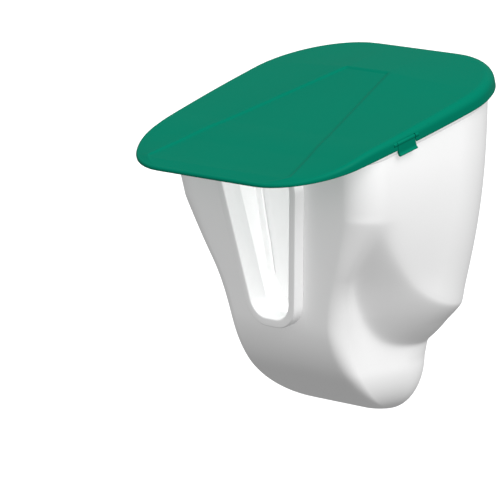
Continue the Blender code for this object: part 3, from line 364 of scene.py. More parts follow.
class BodyForm:
    """The body's outer surface, worked out from its sizes.

    Each level section is a rounded rectangle.  Its front and back come from front_y and back_y, its
    half width from half_width, and its corner radii from corner_radii."""

    def __init__(self, scene):
        self.body, self.trough = scene.feeder_body, scene.feeder_trough
        self.ledge_size = scene.feeder_ledge
        body, trough = self.body, self.trough
        self.slope = math.tan(body.rim_pitch)
        self.back = HINGE.y - body.hinge_to_body
        self.front = self.back - body.rim_depth
        self.back_z = HINGE.z + body.hinge_drop - body.hinge_to_body * self.slope
        self.front_z = self.back_z - body.rim_depth * self.slope
        self.lean = math.atan(body.front_lean)
        self.front_centre_z = trough.floor_z + trough.front_sweep
        self.back_centre_z = trough.floor_z + trough.back_rise
        rise = (self.front_centre_z - self.front_z) * math.sin(self.lean)
        self.sweep_y = self.front + (trough.front_sweep - rise) / math.cos(self.lean)
        self.sweep_top_z = self.front_centre_z - trough.front_sweep * math.sin(self.lean)
        self.drop = self.back_z - self.ledge_size.top_z

    def fallen(self, z):
        """How far down the hopper a height is: 0 at the rim's back and 1 at the ledge's level edge."""
        return np.clip((self.back_z - z) / self.drop, 0.0, MOST_FALL)

    def rim_z(self, y):
        """Height of the inclined rim plane."""
        return self.back_z + (y - self.back) * self.slope

    def ledge_step(self, t, round_off):
        """0 below -1, 1 above +1, a straight line between, and both its ends rounded by hypot."""
        return 0.5 + 0.25 * (np.hypot(t + 1.0, round_off) - np.hypot(t - 1.0, round_off))

    def front_y(self, z):
        """The leaning front line, then the arc that sweeps it into the floor."""
        radius = self.trough.front_sweep
        line = self.front + self.body.front_lean * (self.front_z - z)
        drop = np.clip(self.front_centre_z - z, 0.0, radius)
        sweep = self.sweep_y - np.sqrt(radius ** 2 - drop ** 2)
        return np.where(z > self.sweep_top_z, line, sweep)

    def back_y(self, z):
        """The hopper's drafted back, stepped over the ledge into the trough's elliptical back."""
        drop = np.clip((self.back_centre_z - z) / self.trough.back_rise, 0.0, 1.0)
        trough = self.sweep_y + self.trough.back_sweep * np.sqrt(1.0 - drop ** 2)
        hopper = self.back - self.body.back_draft * self.fallen(z) ** self.body.hopper_curve
        middle, band = self.ledge(self.back)
        share = self.ledge_step((z - middle) / band, self.ledge_size.rounding)
        return trough + (hopper - trough) * share

    def ledge(self, y):
        """Height of the J's middle line at a depth, and half the height of its band.

        Each edge is its level plus its climb times fall(depth), and the lower one is held softly
        under its limit by a hyperbola."""
        size = self.ledge_size
        depth = y - self.front - size.start
        top = size.top_z + size.top_climb * fall(depth, size.top_run, size.top_curve)
        low = size.low_z + size.low_climb * fall(depth, size.low_run, size.low_curve)
        low = held_under(low, size.low_limit, size.limit_blend)
        return 0.5 * (top + low), 0.5 * (top - low)

    def hopper_share(self, y, z):
        """0 on the trough and 1 on the hopper: the front corner's soft hip, and the ledge behind it.

        The ledge is ledge_step plus sag times that step times one less it.  The hip is one less a
        power of the drop from its top to its foot, and dies away behind the corner."""
        size = self.ledge_size
        depth = y - self.front - size.start
        middle, band = self.ledge(y)
        soft = size.rounding + size.front_rounding * fall(depth, size.front_rounding_run, 2.0)
        step = self.ledge_step((z - middle) / band, soft)
        step = step + size.sag * step * (1.0 - step)
        foot = size.hip_low - size.hip_fall * np.maximum(depth, 0.0)
        drop = np.maximum((size.hip_top - z) / (size.hip_top - foot), 0.0)
        hip = 1.0 - np.maximum(held_under(drop, 1.0, size.hip_blend), 0.0) ** size.hip_power
        return step + (hip - step) * fall(depth, size.hip_run, 3.0)

    def half_width(self, y, z):
        """Half width before the corners: hopper and trough mixed by hopper_share, and an elliptical
        edge into the floor."""
        body, trough = self.body, self.trough
        front_fall = np.maximum((self.front_z - z) / body.front_narrowing_drop, 0.0)
        front_fall = held_under(front_fall, MOST_FALL, 0.2)
        at_front = body.rim_front_half - body.front_narrowing * front_fall ** 2
        at_back = body.rim_back_half - body.back_narrowing * self.fallen(z) ** body.hopper_curve
        along = np.clip((y - self.front) / body.rim_depth, 0.0, 1.0)
        hopper = at_front + (at_back - at_front) * along + body.rim_bow * np.sin(HALF_TURN * along)
        lower = trough.half - trough.draft * np.maximum(self.ledge_size.top_z - z, 0.0)
        width = lower + (hopper - lower) * self.hopper_share(y, z)
        left = np.clip((z - trough.floor_z) / trough.edge_rise, 0.0, 1.0)
        return width - trough.edge_inset * (1.0 - np.sqrt(1.0 - (1.0 - left) ** 2))

    def corner_radii(self, z, depth):
        """Front and back plan radii at a height, kept within a share of the depth."""
        most = self.body.corner_share * depth
        radii = []
        for low, high, end in ((self.trough.front_radius, self.body.rim_front_radius, self.front),
                               (self.trough.back_radius, self.body.rim_back_radius, self.back)):
            middle, band = self.ledge(end)
            radii.append(np.minimum(low + (high - low) * smooth((z - middle) / band), most))
        return radii

    def sections(self, weights):
        """Right half of each section, from the front's middle to the back's, as (rows, points, 3).

        Its five parts are the flat front, its corner, the side, the back's corner and the flat back.
        A row's height is the sum of its four weights times the wall's top, the ledge's middle, the
        ledge's half band and one, so a row may climb as it goes back.  Depth and height depend on each
        other, so they are worked out over and over until they settle."""
        counts = (18, 20, 66, 34, 19)
        part = np.repeat(np.arange(5), counts)[None, :]
        shares = [np.linspace(0.0, 1.0, n, endpoint=k == 4) for k, n in enumerate(counts)]
        t = np.concatenate(shares)[None, :]
        turn = 0.5 * HALF_TURN * t
        y = np.linspace(self.front, self.back, part.size)[None, :] + np.zeros((len(weights), 1))
        top_share, middle_share, band_share, level = (weights[:, k:k + 1] for k in range(4))
        for _ in range(40):
            middle, band = self.ledge(y)
            top = self.rim_z(y) + self.body.rim_rise - 0.5 * self.body.wall
            z = top_share * top + middle_share * middle + band_share * band + level
            near, far = self.front_y(z), self.back_y(z)
            far = np.where(far - near < 0.0001, near, far)
            rf, rb = self.corner_radii(z, far - near)
            want = np.select([part == k for k in range(4)], [
                near, near + rf * (1 - np.cos(turn)), near + rf + (far - near - rf - rb) * t,
                far - rb * (1 - np.sin(turn))], far)
            y = 0.5 * (y + want)
        wide = self.half_width(y, z)
        x = np.select([part == k for k in range(4)], [
            (wide - rf) * t, wide - rf * (1 - np.sin(turn)), wide,
            wide - rb * (1 - np.cos(turn))], (wide - rb) * (1 - t))
        return np.stack([x, y, z], axis=-1)

    def row_weights(self):
        """Weights of the rows from the wall's top down the hopper, over the ledge and to the floor."""
        end = 1.0 + self.ledge_size.rounding
        share = np.linspace(0.0, 1.0, HOPPER_ROWS, endpoint=False)
        hopper = np.column_stack([1 - share, share, end * share, 0 * share])
        share = end * np.linspace(1.0, -1.0, LEDGE_ROWS)
        bend = np.column_stack([0 * share, 1 + 0 * share, share, 0 * share])
        angles = np.radians(np.linspace(72.0, 0.0, FLOOR_ROWS))
        level = self.back_centre_z - self.trough.back_rise * np.cos(angles)
        share = np.linspace(0.0, 1.0, TROUGH_ROWS)[1:-1]
        trough = np.column_stack([0 * share, 1 - share, -end * (1 - share), level[0] * share])
        floor = np.column_stack([0 * level, 0 * level, 0 * level, level])
        return np.vstack([hopper, bend, trough, floor])

    def rim_ring(self, heights):
        """Closed outlines at heights above the rim plane, as (rows, points, 3)."""
        rise = self.body.rim_rise - 0.5 * self.body.wall
        weights = np.array([[1.0, 0.0, 0.0, height - rise] for height in heights])
        return whole_ring(self.sections(weights))

    def inner_edge(self, y, z):
        """Half width of the wall's inner face, allowing for the wall's slope on the ledge."""
        step = 0.001
        slope = (self.half_width(y, z + step) - self.half_width(y, z - step)) / (2 * step)
        return self.half_width(y, z) - self.body.wall * np.hypot(1.0, slope)

    def face_place(self):
        """Front face: X across, Y out of the face, Z up along it, from the rim plane."""
        up = Vector((0.0, -math.sin(self.lean), math.cos(self.lean)))
        out = Vector((0.0, -math.cos(self.lean), -math.sin(self.lean)))
        return axes((1.0, 0.0, 0.0), out, up, (0.0, self.front, self.front_z))


def whole_ring(half):
    """Mirror right halves into closed rings, without doubled middle points."""
    left = half[:, -2:0:-1] * np.array([-1.0, 1.0, 1.0])
    return np.concatenate([half, left], axis=1)


def outward(rows):
    """Unit normals of a grid of closed rings: the cross product of its two directions."""
    around = np.roll(rows, -1, axis=1) - np.roll(rows, 1, axis=1)
    down = np.gradient(rows, axis=0)
    return unit(np.cross(around, -down))


def placed(points, matrix):
    """Points of any shape of array, carried by a matrix."""
    m = np.array(matrix)
    return points @ m[:3, :3].T + m[:3, 3]


def grid_faces(rows, columns, wrap):
    """Corner numbers of a grid's quads; wrap joins its last column to the first."""
    i = np.arange(rows - 1)[:, None] * columns
    j = np.arange(columns if wrap else columns - 1)[None, :]
    k = (j + 1) % columns
    return np.stack([i + j, i + columns + j, i + columns + k, i + k], axis=-1).reshape(-1, 4)


def surface(name, grids, sharp=35.0, loose_ends=()):
    """One smooth object from (points, wrap) grids, welded where they meet.

    loose_ends are further rings that are closed by one face each."""
    points, faces, start = [], [], 0
    for rows, wrap in grids:
        points.append(rows.reshape(-1, 3))
        faces += (grid_faces(rows.shape[0], rows.shape[1], wrap) + start).tolist()
        start += rows.shape[0] * rows.shape[1]
    for ring in loose_ends:
        points.append(ring)
        faces.append(list(range(start, start + len(ring))))
        start += len(ring)
    mesh = bpy.data.meshes.new(name)
    mesh.from_pydata(np.vstack(points).tolist(), [], faces)
    bm = bmesh.new()
    bm.from_mesh(mesh)
    bmesh.ops.remove_doubles(bm, verts=bm.verts, dist=WELD)
    bmesh.ops.dissolve_degenerate(bm, edges=bm.edges, dist=WELD)
    bmesh.ops.recalc_face_normals(bm, faces=bm.faces)
    bm.to_mesh(mesh)
    bm.free()
    return shaded(bpy.data.objects.new(name, mesh), sharp)


def shaded(piece, sharp):
    """Link a piece and shade it smooth up to an edge angle."""
    if piece.name not in bpy.context.scene.collection.objects:
        bpy.context.scene.collection.objects.link(piece)
    piece.data.shade_smooth()
    piece.data.set_sharp_from_angle(angle=math.radians(sharp))
    return piece


def settle(piece, sharp=35.0):
    """Replace a piece's mesh by what its modifiers make of it."""
    bpy.context.view_layer.update()
    shown = piece.evaluated_get(bpy.context.evaluated_depsgraph_get())
    result = bpy.data.meshes.new_from_object(shown)
    piece.modifiers.clear()
    old, piece.data = piece.data, result
    bpy.data.meshes.remove(old)
    result.name = piece.name
    return shaded(piece, sharp)


def cut_out(piece, tools, sharp):
    """Cut tools out of a piece, and remove them."""
    for tool in tools:
        mod = piece.modifiers.new(tool.name, "BOOLEAN")
        mod.operation = "DIFFERENCE"
        mod.solver = "EXACT"
        mod.object = tool
    settle(piece, sharp)
    for tool in tools:
        bpy.data.meshes.remove(tool.data)
    return piece


def tangents(ring):
    """Tangents of a closed ring: each chord's direction weighted by the other chord's length."""
    ahead = np.roll(ring, -1, axis=0) - ring
    behind = np.roll(ahead, 1, axis=0)
    far, near = (np.linalg.norm(chord, axis=1, keepdims=True) for chord in (ahead, behind))
    return unit(unit(ahead) * near + unit(behind) * far)


def inset(outline, distance):
    """Move a closed flat outline, anticlockwise, inwards along its own normals."""
    along = tangents(outline)
    return outline + distance * np.column_stack([-along[:, 1], along[:, 0]])


def arc_shares(steps=4):
    """Inset and drop of a quarter round of radius one, from the flat face to the side."""
    turn = np.linspace(0.0, 0.5 * HALF_TURN, steps + 1)
    return list(zip(1.0 - np.sin(turn), 1.0 - np.cos(turn)))


def rounded_edge(thickness, rounding):
    """Steps of (inset, height) down a plate's edge, rounded at both faces.

    A quarter round goes in by r(1 - sin a) and down by r(1 - cos a)."""
    top = [(share * rounding, 0.5 * thickness - drop * rounding) for share, drop in arc_shares()]
    return top + [(inwards, -height) for inwards, height in reversed(top)]


def raised(outline, inwards, height):
    """A flat outline moved inwards and lifted to a height."""
    return np.column_stack([inset(outline, inwards), np.full(len(outline), height)])


def slab(name, outline, thickness, place, rounding):
    """A flat outline pushed along its normal, with rounded edges."""
    rows = np.stack([raised(outline, *step) for step in rounded_edge(thickness, rounding)])
    rows = placed(rows, place)
    return surface(name, [(rows, True)], loose_ends=[rows[0][::-1], rows[-1]])


def plate_with_hole(name, outer, hole, thickness, place, rounding):
    """A flat plate between two closed outlines of as many points, with rounded edges.

    The rings go down the outer edge, back across to the hole and up its edge."""
    edge = rounded_edge(thickness, rounding)
    rows = [raised(outer, inwards, height) for inwards, height in edge]
    rows += [raised(hole, -inwards, height) for inwards, height in reversed(edge)]
    rows = placed(np.stack(rows + rows[:1]), place)
    return surface(name, [(rows, True)])


def arc(start, stop, count):
    """Points of a circle of radius one between two angles in degrees, both ends included."""
    turn = np.radians(np.linspace(start, stop, count))
    return np.column_stack([np.cos(turn), np.sin(turn)])


def circle(radius, count=48):
    """Points of a circle, anticlockwise."""
    turn = np.linspace(0.0, 2 * HALF_TURN, count, endpoint=False)
    return radius * np.column_stack([np.cos(turn), np.sin(turn)])


def resampled(outline, count):
    """A closed outline with points spread evenly along it."""
    closed = np.vstack([outline, outline[:1]])
    run = np.concatenate([[0.0], np.cumsum(np.linalg.norm(np.diff(closed, axis=0), axis=1))])
    want = np.linspace(0.0, run[-1], count, endpoint=False)
    return np.column_stack([np.interp(want, run, closed[:, 0]), np.interp(want, run, closed[:, 1])])


def densified(outline, step):
    """A closed outline with its corners kept and points added along its edges."""
    pieces = []
    for start, stop in zip(outline, np.roll(outline, -1, axis=0)):
        count = max(int(np.linalg.norm(stop - start) / step), 1)
        share = np.linspace(0.0, 1.0, count, endpoint=False)[:, None]
        pieces.append(start * (1 - share) + stop * share)
    return np.vstack(pieces)


def turned(name, profile, axis_place, count):
    """A profile of (along, radius) points carried round the X axis of a place."""
    turn = np.linspace(0.0, 2 * HALF_TURN, count, endpoint=False)
    along, radius = np.array(profile, float).T
    rows = np.stack([along[:, None] + 0 * turn, radius[:, None] * np.cos(turn),
                     radius[:, None] * np.sin(turn)], axis=-1)
    return surface(name, [(placed(rows, axis_place), True)])


def pin_profile(half, radius, rounding):
    """Profile of a round pin with rounded ends, from one end's middle to the other's."""
    end = [(half - drop * rounding, radius - share * rounding) for share, drop in arc_shares()]
    right = [(half, 0.0)] + end
    return right + [(-along, r) for along, r in reversed(right)]


def new_group(name, inputs, outputs):
    """A shader node group with named sockets; inputs are (name, default) pairs."""
    tree = bpy.data.node_groups.new(name, "ShaderNodeTree")
    for label, default in inputs:
        socket = tree.interface.new_socket(label, in_out="INPUT", socket_type="NodeSocketFloat")
        socket.default_value = default
    for label in outputs:
        tree.interface.new_socket(label, in_out="OUTPUT", socket_type="NodeSocketFloat")
    return tree, tree.nodes.new("NodeGroupInput"), tree.nodes.new("NodeGroupOutput")


def maths(tree, operation, first, second, clamp=False):
    """A Math node fed by sockets or numbers."""
    node = tree.nodes.new("ShaderNodeMath")
    node.operation = operation
    node.use_clamp = clamp
    for socket, value in zip(node.inputs, (first, second)):
        if isinstance(value, bpy.types.NodeSocket):
            tree.links.new(value, socket)
        else:
            socket.default_value = value
    return node.outputs[0]


def noise(tree, coords, scale, detail=2.0, roughness=0.5):
    """A noise texture on given coordinates; the scale may be a socket."""
    node = tree.nodes.new("ShaderNodeTexNoise")
    tree.links.new(coords, node.inputs["Vector"])
    if isinstance(scale, bpy.types.NodeSocket):
        tree.links.new(scale, node.inputs["Scale"])
    else:
        node.inputs["Scale"].default_value = scale
    node.inputs["Detail"].default_value = detail
    node.inputs["Roughness"].default_value = roughness
    return node.outputs["Fac"]


def ramp(tree, value, low, high, to_low=0.0, to_high=1.0):
    """A smooth step of a value from one range to another."""
    node = tree.nodes.new("ShaderNodeMapRange")
    node.interpolation_type = "SMOOTHSTEP"
    tree.links.new(value, node.inputs["Value"])
    limits = {"From Min": low, "From Max": high, "To Min": to_low, "To Max": to_high}
    for label, limit in limits.items():
        node.inputs[label].default_value = limit
    return node.outputs["Result"]


def object_coords(tree):
    """Object coordinates, which are metres here."""
    return tree.nodes.new("ShaderNodeTexCoord").outputs["Object"]


def stretched(tree, scale):
    """Object coordinates scaled along each axis."""
    node = tree.nodes.new("ShaderNodeMapping")
    node.inputs["Scale"].default_value = scale
    tree.links.new(object_coords(tree), node.inputs["Vector"])
    return node.outputs["Vector"]


def bumped(tree, shader, height, strength, distance):
    """Feed a height to the shader's normal through a Bump node."""
    node = tree.nodes.new("ShaderNodeBump")
    node.inputs["Strength"].default_value = strength
    node.inputs["Distance"].default_value = distance
    tree.links.new(height, node.inputs["Height"])
    tree.links.new(node.outputs["Normal"], shader.inputs["Normal"])


def moulded_group():
    """Spark-eroded grain, slow flow mottling and scuffs of a moulded plastic."""
    if "Moulded surface" in bpy.data.node_groups:
        return bpy.data.node_groups["Moulded surface"]
    tree, given, result = new_group("Moulded surface", (("Grain scale", 900.0), ("Scuffs", 0.3)),
                                    ("Height", "Mottle", "Scuff"))
    coords = object_coords(tree)
    grain = noise(tree, coords, given.outputs["Grain scale"], 3.0, 0.6)
    waves = noise(tree, coords, 26.0, 2.0)
    height = maths(tree, "ADD", grain, maths(tree, "MULTIPLY", waves, 1.2))
    tree.links.new(height, result.inputs["Height"])
    tree.links.new(noise(tree, coords, 9.0, 3.0), result.inputs["Mottle"])
    scratches = noise(tree, stretched(tree, (1.0, 1.0, 0.12)), 300.0, 4.0, 0.7)
    scuff = ramp(tree, scratches, 0.62, 0.74)
    tree.links.new(maths(tree, "MULTIPLY", scuff, given.outputs["Scuffs"]), result.inputs["Scuff"])
    return tree


def edge_wear_and_highlight_group():
    """A mask of convex edges, broken up by noise, for paler edges that are partly wear and partly a
    painted highlight.
    """
    if "Worn edge" in bpy.data.node_groups:
        return bpy.data.node_groups["Worn edge"]
    tree, given, result = new_group("Worn edge", (("Amount", 0.5),), ("Edge",))
    bend = tree.nodes.new("ShaderNodeNewGeometry").outputs["Pointiness"]
    # Convex edges picked by pointiness are painted paler: a painted highlight along them as well as
    # wear.
    edge = ramp(tree, bend, 0.53, 0.62)
    patchy = ramp(tree, noise(tree, object_coords(tree), 120.0, 3.0), 0.35, 0.65, 0.35, 1.0)
    edge = maths(tree, "MULTIPLY", edge, patchy)
    tree.links.new(maths(tree, "MULTIPLY", edge, given.outputs["Amount"]), result.inputs["Edge"])
    return tree


def dust_group():
    """Feed dust that lies on faces that look up."""
    if "Feed dust" in bpy.data.node_groups:
        return bpy.data.node_groups["Feed dust"]
    tree, given, result = new_group("Feed dust", (("Amount", 0.3),), ("Dust",))
    split = tree.nodes.new("ShaderNodeSeparateXYZ")
    tree.links.new(tree.nodes.new("ShaderNodeNewGeometry").outputs["Normal"], split.inputs[0])
    up = ramp(tree, split.outputs["Z"], 0.25, 0.95)
    patchy = ramp(tree, noise(tree, object_coords(tree), 45.0, 5.0, 0.65), 0.42, 0.72)
    dust = maths(tree, "MULTIPLY", up, patchy)
    tree.links.new(maths(tree, "MULTIPLY", dust, given.outputs["Amount"]), result.inputs["Dust"])
    return tree


def place_group(tree, group, **values):
    """Put a node group in a material, with its inputs set."""
    node = tree.nodes.new("ShaderNodeGroup")
    node.node_tree = group
    for label, value in values.items():
        node.inputs[label.replace("_", " ").capitalize()].default_value = value
    return node


def mixed(tree, first, second, share):
    """A colour mixed from two by a share; each may be a socket or a linear colour."""
    node = tree.nodes.new("ShaderNodeMix")
    node.data_type = "RGBA"
    sockets = [s for s in node.inputs if s.type == "RGBA"]
    for socket, value in zip(sockets, (first, second)):
        if isinstance(value, bpy.types.NodeSocket):
            tree.links.new(value, socket)
        else:
            socket.default_value = (*value, 1.0)
    factor = next(s for s in node.inputs if s.name == "Factor" and s.type == "VALUE")
    tree.links.new(share, factor)
    return next(s for s in node.outputs if s.type == "RGBA")


def tinted(base, factor):
    """A colour scaled and held between 0 and 1."""
    return tuple(min(max(channel * factor, 0.0), 1.0) for channel in base)


def new_material(name):
    """An empty material's tree and its Principled shader."""
    mat = bpy.data.materials.new(name)
    mat.use_nodes = True
    return mat, mat.node_tree, mat.node_tree.nodes["Principled BSDF"]


def plastic(name, base, worn_and_highlit, dusty, roughness, specular, grain, dust):
    """A moulded plastic: mottled colour, paler edges (partly wear, partly a painted highlight), dust,
    grain bump and scuffed gloss.

    The roughness wavers with the mottle and rises with scuffs and dust."""
    if name in bpy.data.materials:
        return bpy.data.materials[name]
    mat, tree, shader = new_material(name)
    mould = place_group(tree, moulded_group(), grain_scale=grain, scuffs=0.3)
    edge = place_group(tree, edge_wear_and_highlight_group(), amount=0.45)
    dirt = place_group(tree, dust_group(), amount=dust)
    colour_out = mixed(tree, tinted(base, 0.97), tinted(base, 1.03), mould.outputs["Mottle"])
    # Paler convex edges: partly wear, partly a painted highlight.
    colour_out = mixed(tree, colour_out, worn_and_highlit, edge.outputs["Edge"])
    colour_out = mixed(tree, colour_out, dusty, dirt.outputs["Dust"])
    tree.links.new(colour_out, shader.inputs["Base Color"])
    gloss = maths(tree, "ADD", roughness - 0.04, maths(tree, "MULTIPLY", mould.outputs["Mottle"], 0.08))
    gloss = maths(tree, "ADD", gloss, maths(tree, "MULTIPLY", mould.outputs["Scuff"], 0.25))
    gloss = maths(tree, "ADD", gloss, maths(tree, "MULTIPLY", dirt.outputs["Dust"], 0.4), clamp=True)
    tree.links.new(gloss, shader.inputs["Roughness"])
    bumped(tree, shader, mould.outputs["Height"], 0.1, 0.0002)
    shader.inputs["Specular IOR Level"].default_value = specular
    return mat


def white_plastic():
    """The body's white polypropylene."""
    base = tuple(bpy.context.scene.feeder_finishes.white)
    # The paler edge colour is partly wear and partly a painted highlight.
    return plastic("white_plastic_moulded", base, worn_and_highlit=tinted(base, 1.06), dusty=(0.62, 0.56, 0.44),
                   roughness=0.45, specular=0.25, grain=900.0, dust=0.12)


def green_plastic():
    """The lid's green polypropylene."""
    base = tuple(bpy.context.scene.feeder_finishes.green)
    # The paler edge colour is partly wear and partly a painted highlight.
    return plastic("green_plastic_moulded", base, worn_and_highlit=(0.0, 0.18, 0.12), dusty=(0.01, 0.13, 0.09),
                   roughness=0.48, specular=0.02, grain=700.0, dust=0.05)


def spangle(tree):
    """Shades of zinc crystals: a random value for each Voronoi cell."""
    cells = tree.nodes.new("ShaderNodeTexVoronoi")
    cells.inputs["Scale"].default_value = 110.0
    tree.links.new(object_coords(tree), cells.inputs["Vector"])
    split = tree.nodes.new("ShaderNodeSeparateColor")
    tree.links.new(cells.outputs["Color"], split.inputs[0])
    return split.outputs[0]


def drawing_marks(tree):
    """Fine marks along a wire: noise drawn out along X."""
    return noise(tree, stretched(tree, (0.03, 1.0, 1.0)), 1500.0, 3.0)


def metal(name, base, roughness, marks):
    """A plated steel whose marks vary its colour, gloss and height."""
    if name in bpy.data.materials:
        return bpy.data.materials[name]
    mat, tree, shader = new_material(name)
    pattern = marks(tree)
    shade = mixed(tree, tinted(base, 0.84), tinted(base, 1.1), pattern)
    tree.links.new(shade, shader.inputs["Base Color"])
    spread = maths(tree, "MULTIPLY", pattern, 0.16)
    tree.links.new(maths(tree, "ADD", roughness - 0.08, spread), shader.inputs["Roughness"])
    bumped(tree, shader, pattern, 0.12, 0.0001)
    shader.inputs["Metallic"].default_value = 1.0
    return mat


def zinc():
    """Hot-dip zinc with its spangle."""
    return metal("galvanised_spangle", tuple(bpy.context.scene.feeder_finishes.zinc), 0.42, spangle)


def drawn_steel():
    """Drawn wire with marks along its length."""
    return metal("drawn_steel", tuple(bpy.context.scene.feeder_finishes.steel), 0.3, drawing_marks)


FINISH = {"white_plastic": white_plastic, "green_plastic": green_plastic,
          "galvanised_steel": zinc, "bright_steel": drawn_steel}


def dress(piece, body, slot, *nodes):
    """Give a piece its slot's finish, the body it moves with, and the solids that it stands for."""
    piece.data.materials.clear()
    piece.data.materials.append(FINISH[slot]())
    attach(piece, body)
    if nodes:
        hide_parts(*nodes)


def port_outline(port, offset=0.0, corner_steps=14, side_steps=10):
    """The port's outline in the front face as (across, down) points, clockwise from the top left.

    A trapezoid whose sides close in by the taper, with round corners; offset grows it."""
    lean = math.atan(port.taper)
    top, sill = port.top - offset, port.sill + offset
    grow = offset / math.cos(lean)

    def half(down):
        """Half width at a drop: the top's, less the taper times the drop from there."""
        return port.top_half + grow - port.taper * (down - port.top)

    r_top, r_sill = port.top_radius + offset, port.sill_radius + offset
    high = np.array([half(top + r_top) - r_top / math.cos(lean), top + r_top])
    low = np.array([half(sill - r_sill) - r_sill / math.cos(lean), sill - r_sill])
    corners = []
    quarters = ((high, r_top, -0.5 * HALF_TURN, lean), (low, r_sill, lean, 0.5 * HALF_TURN))
    for centre, radius, start, stop in quarters:
        turn = np.linspace(start, stop, corner_steps + 1)
        corners.append(centre + radius * np.column_stack([np.cos(turn), np.sin(turn)]))
    share = np.linspace(0.0, 1.0, side_steps + 1)[1:-1, None]
    straight = corners[0][-1] * (1 - share) + corners[1][0] * share
    right = np.vstack([corners[0], straight, corners[1]])
    middle = right[-1] * (1 - share) + right[-1] * np.array([-1.0, 1.0]) * share
    top_edge = right[0] * np.array([-1.0, 1.0]) * (1 - share) + right[0] * share
    return np.vstack([right, middle, right[::-1] * np.array([-1.0, 1.0]), top_edge])


def port_rings(port, profile):
    """Rings round the port for a profile of (offset, out) points, in the face's own frame."""
    rings = []
    for offset, out in profile:
        outline = port_outline(port, offset)
        rings.append(np.column_stack([outline[:, 0], np.full(len(outline), out), -outline[:, 1]]))
    return np.stack(rings)


class FEEDER_OT_body(bpy.types.Operator):
    """Moulded body: hopper, J-shaped ledges and trough, with the port cut out"""
    bl_idname = "feeder.body"
    bl_label = "Body"

    def execute(self, context):
        form = BodyForm(context.scene)
        self.shell(form, context.scene.feeder_port)
        self.bead(form)
        self.hinge_ears(form, context.scene.feeder_hanging, context.scene.feeder_lid)
        self.hangers(form, context.scene.feeder_hanging)
        self.guides(form, context.scene.feeder_baffle)
        return {"FINISHED"}

    def shell(self, form, port):
        """The wall: outer rows from the floor up, a half-round lip, and inner rows down again.

        The inner rows are the outer ones moved in by the wall along their normals."""
        outer = whole_ring(form.sections(form.row_weights()))
        normals = outward(outer)
        normals[-1] = (0.0, 0.0, -1.0)
        inner = outer - form.body.wall * normals
        turn = np.linspace(0.0, HALF_TURN, 9)[1:-1, None, None]
        up = unit(outer[0] - outer[1])
        lip = 0.5 * (outer[0] + inner[0])
        lip = lip + 0.5 * form.body.wall * (np.cos(turn) * normals[0] + np.sin(turn) * up)
        rows = np.concatenate([outer[::-1], lip, inner])
        shell = surface("hopper_shell", [(rows, True)], 50.0)
        gap, reach = port.lip_wall + FIT, 0.03
        cut = placed(port_rings(port, ((gap, reach), (gap, -reach))), form.face_place())
        tool = surface("port_cut", [(cut, True)], loose_ends=[cut[0][::-1], cut[1]])
        cut_out(shell, [tool], 50.0)
        dress(shell, "feeder", "white_plastic", "hopper_body")

    def bead(self, form):
        """A flat-backed bead round the rim: its profile's corners are quarter rounds."""
        body = form.body
        middle = 0.5 * (body.bead_above - body.bead_below)
        half = 0.5 * (body.bead_above + body.bead_below)
        profile = [(0.0, half)]
        profile += [(body.bead_proud - share * body.bead_rounding, half - drop * body.bead_rounding)
                    for share, drop in arc_shares()]
        profile += [(out, -height) for out, height in reversed(profile)]
        ring = form.rim_ring([middle])[0]
        along = unit(np.roll(ring, -1, axis=0) - np.roll(ring, 1, axis=0))
        out = unit(np.column_stack([along[:, 1], -along[:, 0], 0 * along[:, 2]]))
        rows = [ring + out * (proud - body.bead_sunk) + np.array([0.0, 0.0, height])
                for proud, height in profile]
        bead = surface("rim_bead", [(np.stack(rows + rows[:1]), True)])
        dress(bead, "feeder", "white_plastic")

    def hinge_ears(self, form, size, lid):
        """Two ears at each hinge, each a web that runs up the back into a round eye."""
        eye = lid.knuckle_radius * arc(-100, 90, 24)
        back = form.back - 0.5 * form.body.wall - HINGE.y
        root = np.array([[back, 0.0], [back, -size.ear_root]])
        outline = resampled(np.vstack([eye, root]), RING_POINTS)
        hole = size.eye_bore * unit(outline)
        apart = 0.5 * lid.knuckle_length + size.ear_gap + 0.5 * size.ear_thickness
        for side, word in SIDES:
            for edge in (-1, 1):
                place = Matrix.Translation((side * lid.hinge_centres + edge * apart, HINGE.y, HINGE.z))
                name = "hinge_ear_" + word + ("_outer", "_inner")[side * edge < 0]
                ear = plate_with_hole(name, outline, hole, size.ear_thickness, place @ across(),
                                      rounding=0.0006)
                dress(ear, "feeder", "white_plastic")

    def hangers(self, form, size):
        """Two hooks that drop over the bracket's front flange, and two fins under them."""
        hook_outline = densified(self.hook_outline(form, size)[::-1], 0.0015)
        fin_outline = densified(self.fin_outline(form)[::-1], 0.003)
        for side, word in SIDES:
            place = Matrix.Translation((side * size.centres, 0.0, 0.0)) @ across()
            hook = slab("hanging_hook_" + word, hook_outline, size.hook_width, place, rounding=0.0008)
            dress(hook, "feeder", "white_plastic")
            fin = slab("stand_off_fin_" + word, fin_outline, size.fin_thickness, place, rounding=0.0010)
            dress(fin, "feeder", "white_plastic")

    def hook_outline(self, form, size):
        """Side view of a hook: root on the wall, bridge over the flange, and a bevelled lip."""
        front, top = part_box("wall_bracket")[0][1], size.flange_top
        wall_y = float(form.back_y(np.array(top))) - 0.5 * form.body.wall
        leg = front + size.flange + FIT
        lip = leg + size.hook_lip
        bridge = top + FIT + size.hook_bridge
        foot, root = bridge - size.hook_drop, bridge - size.hook_root
        return np.array([
            [wall_y, bridge + size.hook_rise], [lip - size.hook_bevel, bridge],
            [lip, bridge - size.hook_bevel], [lip, foot], [leg, foot], [leg, top + FIT],
            [front - FIT, top + FIT], [front - FIT, root], [wall_y, root]])

    def fin_outline(self, form):
        """Side view of a fin that narrows from the body to the wall it stands on."""
        level, above, below, half_foot = -0.150, 0.030, 0.024, 0.0075
        root = float(form.back_y(np.array(level))) - 0.5 * form.body.wall
        return np.array([[root, level + above], [-FIT, level + half_foot],
                         [-FIT, level - half_foot], [root, level - below]])

